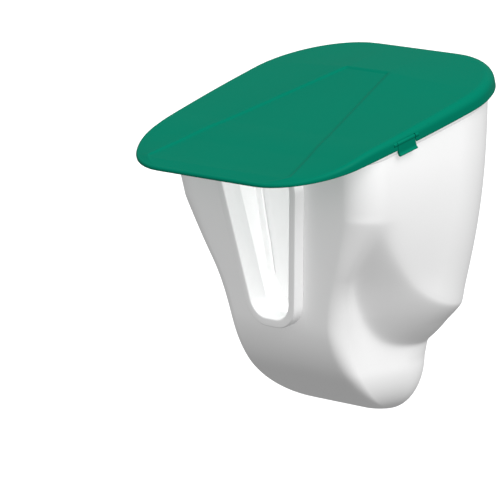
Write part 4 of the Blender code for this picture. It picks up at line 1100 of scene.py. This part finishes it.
    def guides(self, form, size):
        """Rails down the inside of the walls that the baffle slides between."""
        middle = form.back - size.from_back
        top = form.rim_z(middle) - size.guide_below_rim
        bottom = float(sum(form.ledge(np.array(middle))))
        z = np.linspace(top, bottom, GUIDE_ROWS)
        apart = 0.5 * (size.thickness + size.guide_thickness) + size.sliding
        for side, word in SIDES:
            for edge, end in ((-1, "_front"), (1, "_back")):
                y = middle + edge * apart
                wall_x = form.inner_edge(np.full(GUIDE_ROWS, y), z)
                rail = np.column_stack([wall_x - size.guide_depth, z])
                root = np.column_stack([wall_x + 0.5 * form.body.wall, z])
                guide = slab("baffle_guide_" + word + end, np.vstack([rail, root[::-1]]),
                             size.guide_thickness, upright(y, side), rounding=0.0006)
                dress(guide, "feeder", "white_plastic")


class FEEDER_OT_port_lip(bpy.types.Operator):
    """Raised lip round the feeding port"""
    bl_idname = "feeder.port_lip"
    bl_label = "Port lip"

    def execute(self, context):
        port = context.scene.feeder_port
        inside = -(context.scene.feeder_body.wall + port.inside)
        wall, width, proud = port.lip_wall, port.lip_width, port.lip_proud

        def rolled(centre, radius, start, stop):
            """Points of a round edge that touches the lip's face."""
            return list(map(tuple, radius * arc(start, stop, 9) + (centre, proud - radius)))

        profile = [(0.0, inside + 0.001), (0.0003, inside + 0.0003), (0.001, inside)]
        profile += [(wall - 0.001, inside), (wall, inside + 0.001)]
        profile += [(wall, proud - wall), (width - wall, proud - wall)]
        profile += [(width - wall, FIT), (width, FIT)]
        profile += rolled(width - port.outer_roll, port.outer_roll, 0, 90)
        profile += rolled(port.inner_roll, port.inner_roll, 90, 180)
        profile.append(profile[0])
        rings = placed(port_rings(port, profile), BodyForm(context.scene).face_place())
        lip = surface("port_lip", [(rings, True)])
        dress(lip, "feeder", "white_plastic", "port_collar")
        return {"FINISHED"}


class FEEDER_OT_baffle(bpy.types.Operator):
    """Plate that parts the feed store from the head space"""
    bl_idname = "feeder.baffle"
    bl_label = "Feed baffle"

    def execute(self, context):
        form = BodyForm(context.scene)
        size = context.scene.feeder_baffle
        y = form.back - size.from_back
        self.plate(form, size, y)
        self.top_lip(form, size, y)
        return {"FINISHED"}

    def plate(self, form, size, y):
        """The plate, with sides that keep a gap to the body's inner face and round lower corners."""
        low = min(form.front_centre_z, form.trough.floor_z + form.body.wall + size.floor_gap)
        z = np.linspace(size.top_z, low, PLATE_ROWS)
        x = form.inner_edge(np.full(PLATE_ROWS, y - 0.5 * size.thickness), z) - size.side_gap
        side = np.column_stack([x, z])[:-1]
        side = side[side[:, 1] > low + size.corner]
        turn = np.linspace(0.0, -0.5 * HALF_TURN, 8)
        corner = np.column_stack([x[-1] - size.corner * (1 - np.cos(turn)),
                                  low + size.corner * (1 + np.sin(turn))])
        right = np.vstack([side, corner])
        outline = np.vstack([right, right[::-1] * np.array([-1.0, 1.0])])[::-1]
        outline = resampled(outline, PLATE_POINTS)
        middle = np.array([0.0, size.top_z - size.grip_below_top - 0.5 * size.grip_height])
        hole = self.slot(size, outline - middle) + middle
        plate = plate_with_hole("baffle_plate", outline, hole, size.thickness, upright(y),
                                rounding=0.0007)
        dress(plate, "baffle", "white_plastic", "feed_baffle")

    def top_lip(self, form, size, y):
        """The stiffening lip along the plate's top, between the guides."""
        inner = float(form.inner_edge(np.array(y), np.array(size.top_z)))
        span = inner - size.guide_depth - 2 * size.side_gap
        root = y - 0.5 * size.thickness + 0.001
        edge = y - 0.5 * size.thickness - size.lip
        top = size.top_z - 0.0001
        under = size.top_z - size.thickness
        hem = size.top_z - 0.0045
        profile = np.array([[root, top], [edge, top], [edge, hem], [edge + 0.002, hem],
                            [edge + 0.002, under], [root, under]])
        lip = slab("baffle_lip", densified(profile, 0.001), 2 * span, across(), rounding=0.0005)
        dress(lip, "baffle", "white_plastic")

    def slot(self, size, directions):
        """A slot with round ends, met by rays from its middle towards the plate's edge.

        A ray meets either a straight side, at half height, or the round end about its centre."""
        away = unit(directions)
        radius = 0.5 * size.grip_height
        reach = 0.5 * (size.grip_width - size.grip_height)
        side = radius / np.maximum(np.abs(away[:, 1]), 1e-9)
        along = np.abs(away[:, 0])
        end = reach * along + np.sqrt(np.maximum(radius ** 2 - (reach * away[:, 1]) ** 2, 0.0))
        return away * np.where(side * along <= reach, side, end)[:, None]


class LidForm:
    """The lid's outer surface in its own frame.

    X runs along the hinge rod, Y up the slope and Z out of the lid's plane."""

    def __init__(self, scene):
        self.size = scene.feeder_lid
        self.latch = scene.feeder_latch
        body = scene.feeder_body
        self.pitch = body.rim_pitch
        self.frame = Matrix.Translation(HINGE) @ Matrix.Rotation(self.pitch, 4, "X")
        form = BodyForm(scene)
        edge_y = form.back + self.size.overhang
        datum = self.frame.inverted() @ Vector((0.0, edge_y, form.rim_z(edge_y)))
        self.back, self.base = datum.y, datum.z
        self.length = (body.rim_depth + self.size.overhang) / math.cos(self.pitch) + self.size.visor
        self.front_half = body.rim_front_half - self.size.tip_tuck
        self.back_half = body.rim_back_half + self.size.back_margin
        self.bow = body.rim_bow + self.size.side_margin

    def place(self, points):
        """(x, from the tip, above the skirt) points in world coordinates."""
        tip = np.array([0.0, self.back - self.length, self.base])
        return placed(np.asarray(points, float) + tip, self.frame)

    def half(self, s):
        """Half width of the sharp-cornered plan: a straight taper and a half-sine bow."""
        share = s / self.length
        taper = (self.back_half - self.front_half) * share
        return self.front_half + taper + self.bow * np.sin(HALF_TURN * share)

    def stations(self):
        """Distances from the tip, crowded at the corners and at the facet's two ends."""
        radius, back_radius = self.size.front_radius, self.size.back_radius
        front = radius * (1 - np.cos(np.radians(np.linspace(0, 90, NOSE_ROWS))))
        tail = self.length - back_radius * (1 - np.sin(np.radians(np.linspace(0, 90, TAIL_ROWS))))
        middle = np.linspace(front[-1], tail[0], SIDE_ROWS)[1:-1]
        s = np.concatenate([front, middle, tail])
        ends = [self.size.crease_front_backset, self.size.ridge_backset]
        near = np.array([0.0, 0.2, 0.4, 0.6, 0.8, 1.2, 1.8, 2.4]) * self.size.crease_round
        extra = [end + sign * near for end in ends for sign in (-1, 1)]
        s = np.sort(np.concatenate([s] + extra))
        s = s[np.insert(np.diff(s) > LEAST_STATION, 0, True)]
        s[-1] = self.length
        return s

    def side(self, s):
        """Right edge of the plan at stations s: the sharp plan less its two round corners."""
        lead = np.clip(1 - s / self.size.front_radius, 0, 1)
        tail = np.clip(1 - (self.length - s) / self.size.back_radius, 0, 1)
        x = self.half(s) - self.size.front_radius * (1 - np.sqrt(1 - lead ** 2))
        return x - self.size.back_radius * (1 - np.sqrt(1 - tail ** 2))

    def skirt_top(self, s):
        """Height of the edge: a thin nose that grows to the full skirt."""
        grow = smooth(2.0 * s / self.size.nose_blend - 1.0)
        further = np.clip((s - self.size.nose_blend) / (self.length - self.size.nose_blend), 0.0, 1.0)
        return (self.size.nose_height + (self.size.skirt_height - self.size.nose_height) * grow
                + (self.size.skirt_back_height - self.size.skirt_height) * further)

    def crease(self, s, edge):
        """Half width of the flat facet at stations s."""
        size = self.size
        share = (s - size.crease_front_backset) / (size.ridge_backset - size.crease_front_backset)
        half = size.crease_front_half + (size.ridge_half - size.crease_front_half) * share
        return np.clip(half, size.ridge_half, size.crease_share * edge)

    def middle(self, s):
        """Height along the middle: up to the ridge and down behind it, with the ridge rounded."""
        size = self.size
        share = (s - size.crease_front_backset) / (size.ridge_backset - size.crease_front_backset)
        rising = size.crease_front_height + (size.ridge_height - size.crease_front_height) * share
        back_share = (s - size.ridge_backset) / (s[-1] - size.ridge_backset)
        falling = size.ridge_height + (size.skirt_back_height - size.ridge_height) * back_share
        return held_under(rising, falling, 0.12 * size.crease_round)

    def crown(self, x, s, edge, low):
        """Height of the top: the flat facet, and sides that fall to the skirt from rounded creases.

        Rows of x, distance s from the tip, half width and height of the edge.  The fall grows as
        half the sum of the distance beyond the crease and its hypotenuse with the rounding."""
        lead = held_under((s - s[0]) / (self.size.crease_front_backset - s[0]), 1.0, 0.08)
        middle = low + (np.maximum(self.middle(s), low) - low) * lead
        crease = self.crease(s, edge)
        radius = self.size.crease_round

        def beyond(distance):
            """Half the sum of a distance past the crease and its hypotenuse with the rounding."""
            return 0.5 * (distance + np.hypot(distance, radius))

        out = beyond(np.abs(x) - crease) / beyond(edge - crease)
        inside = smooth((crease - np.abs(x)) / self.size.panel_riser)
        inside = inside * smooth((self.size.ridge_backset - s) / self.size.panel_riser)
        inside = inside * smooth((s - self.size.crease_front_backset) / self.size.crease_front_backset)
        return middle + (low - middle) * np.minimum(out, 1.0) - self.size.panel_sink * inside

    def latch_place(self, side):
        """Frame of a side latch: X outwards, Y along the edge, Z out of plane, origin on the pin."""
        step = 0.001
        x = float(self.half(self.latch.backset))
        lean = float(self.half(self.latch.backset + step) - x) / step
        out = Vector((side, -lean, 0.0)).normalized()
        up = Vector((0.0, 0.0, 1.0))
        origin = Vector((side * x, self.back - self.length + self.latch.backset,
                         self.base + self.latch.pivot_height)) - out * 0.5 * self.size.wall
        return self.frame @ axes(out, up.cross(out), up, origin)


class FEEDER_OT_lid(bpy.types.Operator):
    """Visor lid with its knuckles, ribs and latch seats"""
    bl_idname = "feeder.lid"
    bl_label = "Lid"

    def execute(self, context):
        form = LidForm(context.scene)
        dress(self.cover(form), "cover", "green_plastic", "lid")
        self.knuckles(form, context.scene.feeder_hanging)
        self.ribs(form, context.scene.feeder_body)
        self.bosses(form)
        return {"FINISHED"}

    def cover(self, form):
        """The crowned top, its fillet and its turned-down skirt, with a wall and the latch windows.

        The top is a grid of stations by columns; the columns keep to the creases and crowd there."""
        s = form.stations()
        edge = form.side(s)
        right = np.column_stack([edge, s])
        ends = self.columns(form, s, edge)[[0, -1]]
        count, last = ends.shape[1], len(s) - 1
        front = np.column_stack([ends[0], np.zeros(count)])
        back = np.column_stack([-ends[1], np.full(count, form.length)])
        left = right[::-1] * np.array([-1.0, 1.0])
        ring = np.vstack([front[:-1], right[:-1], back[:-1], left[:-1]])
        along = tangents(ring)
        out = np.column_stack([along[:, 1], -along[:, 0]])
        height = form.skirt_top(ring[:, 1])
        growth = (form.size.back_fillet - form.size.edge_fillet) * ring[:, 1] / form.length
        fillet = np.minimum(form.size.edge_fillet + growth, 0.7 * height)
        lower = 0.0006
        rows = [np.column_stack([ring - out * (fillet * share)[:, None], height - fillet * drop])
                for share, drop in arc_shares(9)]
        rows += [np.column_stack([ring, (height - fillet) * (1 - sink) + lower * sink])
                 for sink in (0.35, 0.7)]
        rows += [np.column_stack([ring - out * lower * share, np.full(len(ring), lower * drop)])
                 for share, drop in reversed(arc_shares(3))]
        rows = np.stack(rows)
        inner = rows[0]
        right_edge = inner[count - 1:count + last]
        left_edge = np.vstack([inner[:1], inner[:-last - 1:-1]])
        x = self.columns(form, right_edge[:, 1], right_edge[:, 0])
        depth = np.repeat(right_edge[:, 1:2], count, axis=1)
        z = form.crown(x, depth, right_edge[:, :1], height[count - 1:count + last, None])
        top = np.stack([x, depth, z], axis=-1)
        top[0] = inner[:count]
        top[-1] = inner[count + last - 1:2 * count + last - 1][::-1]
        top[:, 0] = left_edge
        top[:, -1] = right_edge
        cover = surface("lid_cover", [(form.place(top), False), (form.place(rows), True)], 40.0)
        mod = cover.modifiers.new("Wall", "SOLIDIFY")
        mod.thickness = form.size.wall
        mod.offset = -1.0
        mod.use_even_offset = True
        settle(cover, 40.0)
        return cut_out(cover, [self.window(form, side) for side, _ in SIDES], 40.0)

    def columns(self, form, s, edge):
        """Positions across at stations s, evenly from edge to crease to crease to edge.

        Within a strip they follow half a cosine wave, so they crowd at the creases."""
        share = 0.5 * (1 - np.cos(np.linspace(0.0, HALF_TURN, STRIP_COLUMNS + 1)))[:-1]
        crease = form.crease(s, edge)
        marks = np.column_stack([-edge, -crease, crease, edge])
        strips = [marks[:, k:k + 1] * (1 - share) + marks[:, k + 1:k + 2] * share
                  for k in range(3)]
        return np.concatenate(strips + [edge[:, None]], axis=1)

    def window(self, form, side):
        """The notch in the skirt that a latch hangs in."""
        latch = form.latch
        half = 0.5 * latch.width + latch.side_gap
        top = latch.barrel_radius + latch.side_gap
        low = -2 * latch.pivot_height
        outline = np.array([[-half, low], [half, low], [half, top], [-half, top]])
        place = form.latch_place(side) @ across()
        return slab("latch_window", densified(outline, 0.01), 4 * form.size.wall, place,
                    rounding=0.0001)

    def knuckles(self, form, hanging):
        """Two knuckles, each a round eye with a strap that runs forward onto the skirt."""
        size = form.size
        eye = size.knuckle_radius * arc(180, 380, 26)
        end = form.back - 0.6 * size.wall
        high = form.base + 0.7 * size.skirt_height
        low = form.base + 0.1 * size.skirt_height
        strap = np.array([[form.back + 0.0005, high], [end, high], [end, low],
                          [-size.knuckle_radius, 0.6 * size.knuckle_radius]])
        outline = resampled(np.vstack([eye, strap]), RING_POINTS)
        hole = hanging.eye_bore * unit(outline)
        for side, word in SIDES:
            place = form.frame @ Matrix.Translation((side * size.hinge_centres, 0.0, 0.0)) @ across()
            knuckle = plate_with_hole("lid_knuckle_" + word, outline, hole, size.knuckle_length, place,
                                      rounding=0.0007)
            dress(knuckle, "cover", "green_plastic")

    def ribs(self, form, body):
        """Ribs under the lid whose lower edges rest on the body's rim."""
        size = form.size
        seat = body.rim_rise * math.cos(form.pitch) + FIT
        top = size.skirt_height - 0.5 * size.wall
        for backset in RIB_BACKSETS:
            edge = float(form.half(backset))
            outer, inner = edge - 0.5 * size.wall, edge - size.overhang - 2.5 * body.wall
            outline = np.array([[inner, seat], [outer, seat], [outer, top],
                                [inner - 0.5 * RIB_THICKNESS, top]])
            shift = Matrix.Translation((0.0, form.back - form.length + backset, form.base))
            for side, word in SIDES:
                rib = slab("seat_rib_%s_%d" % (word, round(1000 * backset)), densified(outline, 0.002),
                           RIB_THICKNESS, form.frame @ shift @ upright(side=side), rounding=0.0004)
                dress(rib, "cover", "green_plastic")

    def bosses(self, form):
        """The seats of the latch pins, a short tube at each end of each latch."""
        latch = form.latch
        outer, bore = circle(latch.barrel_radius), circle(0.5 * latch.pin_diameter + FIT)
        for side, word in SIDES:
            for end, end_word in ((-1, "_front"), (1, "_back")):
                middle = end * (0.5 * (latch.width + latch.boss) + latch.side_gap)
                boss = plate_with_hole("latch_boss_" + word + end_word, outer, bore, latch.boss,
                                       form.latch_place(side) @ edgewise(middle), rounding=0.0004)
                dress(boss, "cover", "green_plastic")


class FEEDER_OT_latches(bpy.types.Operator):
    """Side latches: a barrel on the pin and a leaf with a gripping ridge and a finger edge"""
    bl_idname = "feeder.latches"
    bl_label = "Side latches"

    def execute(self, context):
        form = LidForm(context.scene)
        outline = self.outline(form, context.scene.feeder_body)
        for side, word in SIDES:
            leaf = slab("latch_leaf_" + word, densified(outline, 0.0012), form.latch.width,
                        form.latch_place(side) @ edgewise(), form.latch.chamfer)
            dress(leaf, word + "_tab", "green_plastic", "latch_" + word)
        return {"FINISHED"}

    def outline(self, form, body):
        """Barrel, gripping ridge under the bead, rounded sole, and the finger edge on the outside."""
        latch = form.latch
        low = -(latch.pivot_height + latch.hang)
        thick = 0.5 * latch.thickness
        barrel = latch.barrel_radius * arc(-50, 230, 30)
        ridge = form.size.overhang - body.bead_proud - form.size.wall - FIT
        ridge_z = -latch.pivot_height - 0.5 * body.bead_below
        bump, foot = arc(0, 180, 9), arc(180, 360, 9)
        grip_half, sole_rise = 0.0016, 0.0012
        grip = np.column_stack([-thick - ridge * bump[:, 1], ridge_z + grip_half * bump[:, 0]])
        toe = thick + latch.toe
        sole = np.column_stack([0.5 * (toe - thick) + 0.5 * (toe + thick) * foot[:, 0],
                                low + sole_rise * (1 + foot[:, 1])])
        return np.vstack([barrel, grip, sole, [[thick, low + latch.toe_height]]])


class FEEDER_OT_hardware(bpy.types.Operator):
    """Bracket, hinge rod, clips and latch pins"""
    bl_idname = "feeder.hardware"
    bl_label = "Hardware"

    def execute(self, context):
        self.rod()
        self.pins(LidForm(context.scene))
        self.bracket()
        return {"FINISHED"}

    def rod(self):
        """The hinge rod with rounded ends, and a domed push-on clip at each end."""
        low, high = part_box("hinge_rod")
        radius = 0.5 * (high[2] - low[2])
        place = Matrix.Translation((0.5 * (low[0] + high[0]), HINGE.y, HINGE.z))
        profile = pin_profile(0.5 * (high[0] - low[0]), radius, rounding=0.0007)
        rod = turned("hinge_rod_round", profile, place, 64)
        dress(rod, "feeder", "bright_steel", "hinge_rod")
        turn = np.linspace(0.0, 0.5 * HALF_TURN, 8)
        for side, word in SIDES:
            low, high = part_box("rod_clip_" + word)
            outer, half = 0.5 * (high[2] - low[2]), 0.5 * (high[0] - low[0])
            foot = [-side * half, radius]
            dome = np.column_stack([side * half * (2.0 * np.sin(turn) - 1.0),
                                    radius + (outer - radius) * np.cos(turn)])
            place = Matrix.Translation((0.5 * (low[0] + high[0]), HINGE.y, HINGE.z))
            clip = turned("rod_clip_dome_" + word, np.vstack([foot, dome, foot]), place, 64)
            dress(clip, "feeder", "bright_steel", "rod_clip_" + word)

    def pins(self, form):
        """The wire pins that the latches turn on."""
        latch = form.latch
        half = 0.5 * latch.width + latch.side_gap + latch.boss
        profile = pin_profile(half, 0.5 * latch.pin_diameter, rounding=0.0003)
        along = axes((0.0, 1.0, 0.0), (1.0, 0.0, 0.0), (0.0, 0.0, -1.0))
        for side, word in SIDES:
            pin = turned("latch_pin_round_" + word, profile, form.latch_place(side) @ along, 32)
            dress(pin, "cover", "bright_steel", "latch_pin_" + word)

    def bracket(self):
        """The folded strip, merged from the packed solid and given bevelled edges."""
        source = frame["nodes"]["wall_bracket"]
        piece = bpy.data.objects.new("bracket_folded", source.data.copy())
        piece.matrix_world = source.matrix_world
        bm = bmesh.new()
        bm.from_mesh(piece.data)
        bmesh.ops.remove_doubles(bm, verts=bm.verts, dist=WELD)
        bmesh.ops.dissolve_limit(bm, angle_limit=math.radians(1.0), verts=bm.verts, edges=bm.edges)
        bm.to_mesh(piece.data)
        bm.free()
        shaded(piece, 35.0)
        mod = piece.modifiers.new("Soft edges", "BEVEL")
        mod.width = 0.0004
        mod.segments = 3
        mod.limit_method = "ANGLE"
        mod.angle_limit = math.radians(50.0)
        settle(piece)
        dress(piece, "bracket", "galvanised_steel", "wall_bracket")


class FEEDER_OT_studio(bpy.types.Operator):
    """Pale floor, soft lights and the camera"""
    bl_idname = "feeder.studio"
    bl_label = "Studio"

    def execute(self, context):
        size = context.scene.feeder_studio
        self.floor(context, size)
        self.lights(context, size)
        self.camera(context, size)
        context.scene.view_settings.view_transform = "Standard"
        return {"FINISHED"}

    def floor(self, context, size):
        """A wide sheet of matt paper that glows a little and throws no light on the feeder."""
        mesh = bpy.data.meshes.new("studio_floor")
        corners = [(x * size.floor_reach, y * size.floor_reach, size.floor_drop)
                   for x, y in ((-1, -1), (1, -1), (1, 1), (-1, 1))]
        mesh.from_pydata(corners, [], [(0, 1, 2, 3)])
        floor = bpy.data.objects.new("studio_floor", mesh)
        context.scene.collection.objects.link(floor)
        mat, _, shader = new_material("studio_paper")
        shader.inputs["Base Color"].default_value = (*size.paper, 1.0)
        shader.inputs["Roughness"].default_value = 0.9
        shader.inputs["Specular IOR Level"].default_value = 0.0
        shader.inputs["Emission Color"].default_value = (1.0, 1.0, 1.0, 1.0)
        shader.inputs["Emission Strength"].default_value = size.floor_glow
        floor.data.materials.append(mat)
        floor.visible_diffuse = False
        floor.visible_glossy = False

    def lights(self, context, size):
        """A key from the right, a shadowless fill beside it, one in front, and pale surroundings."""
        for name, towards, strength, spread, shadow in (
                ("key_light", size.side_towards, size.key, size.key_spread, True),
                ("side_fill", size.side_towards, size.side_fill, size.fill_spread, False),
                ("front_fill", size.front_towards, size.front_fill, size.fill_spread, False)):
            lamp = bpy.data.lights.new(name, "SUN")
            lamp.energy = strength
            lamp.angle = spread
            lamp.use_shadow = shadow
            light = bpy.data.objects.new(name, lamp)
            light.rotation_euler = Vector(towards).to_track_quat("Z", "Y").to_euler()
            context.scene.collection.objects.link(light)
        world = bpy.data.worlds.new("studio_air")
        world.use_nodes = True
        surroundings = world.node_tree.nodes["Background"]
        surroundings.inputs["Color"].default_value = (1.0, 1.0, 1.0, 1.0)
        surroundings.inputs["Strength"].default_value = size.sky
        context.scene.world = world

    def camera(self, context, size):
        """A long lens at the picture's angle."""
        data = bpy.data.cameras.new("picture_camera")
        data.sensor_width = 36.0
        data.lens = data.sensor_width * size.camera_distance / size.frame_width
        data.clip_end = 200.0
        camera = bpy.data.objects.new("picture_camera", data)
        turn, rise = size.camera_turn, size.camera_rise
        level = math.cos(rise)
        towards = Vector((math.sin(turn) * level, -math.cos(turn) * level, math.sin(rise)))
        camera.location = Vector(size.aim) + size.camera_distance * towards
        camera.rotation_euler = towards.to_track_quat("Z", "Y").to_euler()
        context.scene.collection.objects.link(camera)
        context.scene.camera = camera


STEPS = (FEEDER_OT_body, FEEDER_OT_port_lip, FEEDER_OT_baffle, FEEDER_OT_lid, FEEDER_OT_latches,
         FEEDER_OT_hardware, FEEDER_OT_studio)
GROUPS = (("feeder_body", BodySizes), ("feeder_hanging", HangingSizes), ("feeder_ledge", LedgeSizes),
          ("feeder_trough", TroughSizes), ("feeder_port", PortSizes), ("feeder_baffle", BaffleSizes),
          ("feeder_lid", LidSizes), ("feeder_latch", LatchSizes), ("feeder_finishes", Finishes),
          ("feeder_studio", StudioSettings))


class FEEDER_PT_panel(bpy.types.Panel):
    """Lists the feeder's pieces and their sizes"""
    bl_idname = "FEEDER_PT_panel"
    bl_label = "Poultry feeder"
    bl_space_type = "VIEW_3D"
    bl_region_type = "UI"
    bl_category = "Feeder"

    def draw(self, context):
        for step in STEPS:
            self.layout.operator(step.bl_idname)
        for attribute, group in GROUPS:
            box = self.layout.box()
            box.label(text=group.__doc__)
            for name in group.__annotations__:
                box.prop(getattr(context.scene, attribute), name)


CLASSES = tuple(group for _, group in GROUPS) + STEPS + (FEEDER_PT_panel,)


def register():
    for cls in CLASSES:
        bpy.utils.register_class(cls)
    for attribute, group in GROUPS:
        setattr(bpy.types.Scene, attribute, PointerProperty(type=group))


def unregister():
    for attribute, _ in reversed(GROUPS):
        delattr(bpy.types.Scene, attribute)
    for cls in reversed(CLASSES):
        bpy.utils.unregister_class(cls)


def main():
    register()
    bpy.ops.feeder.body()
    bpy.ops.feeder.port_lip()
    bpy.ops.feeder.baffle()
    bpy.ops.feeder.lid()
    bpy.ops.feeder.latches()
    bpy.ops.feeder.hardware()
    bpy.ops.feeder.studio()


if __name__ == "__main__":
    main()
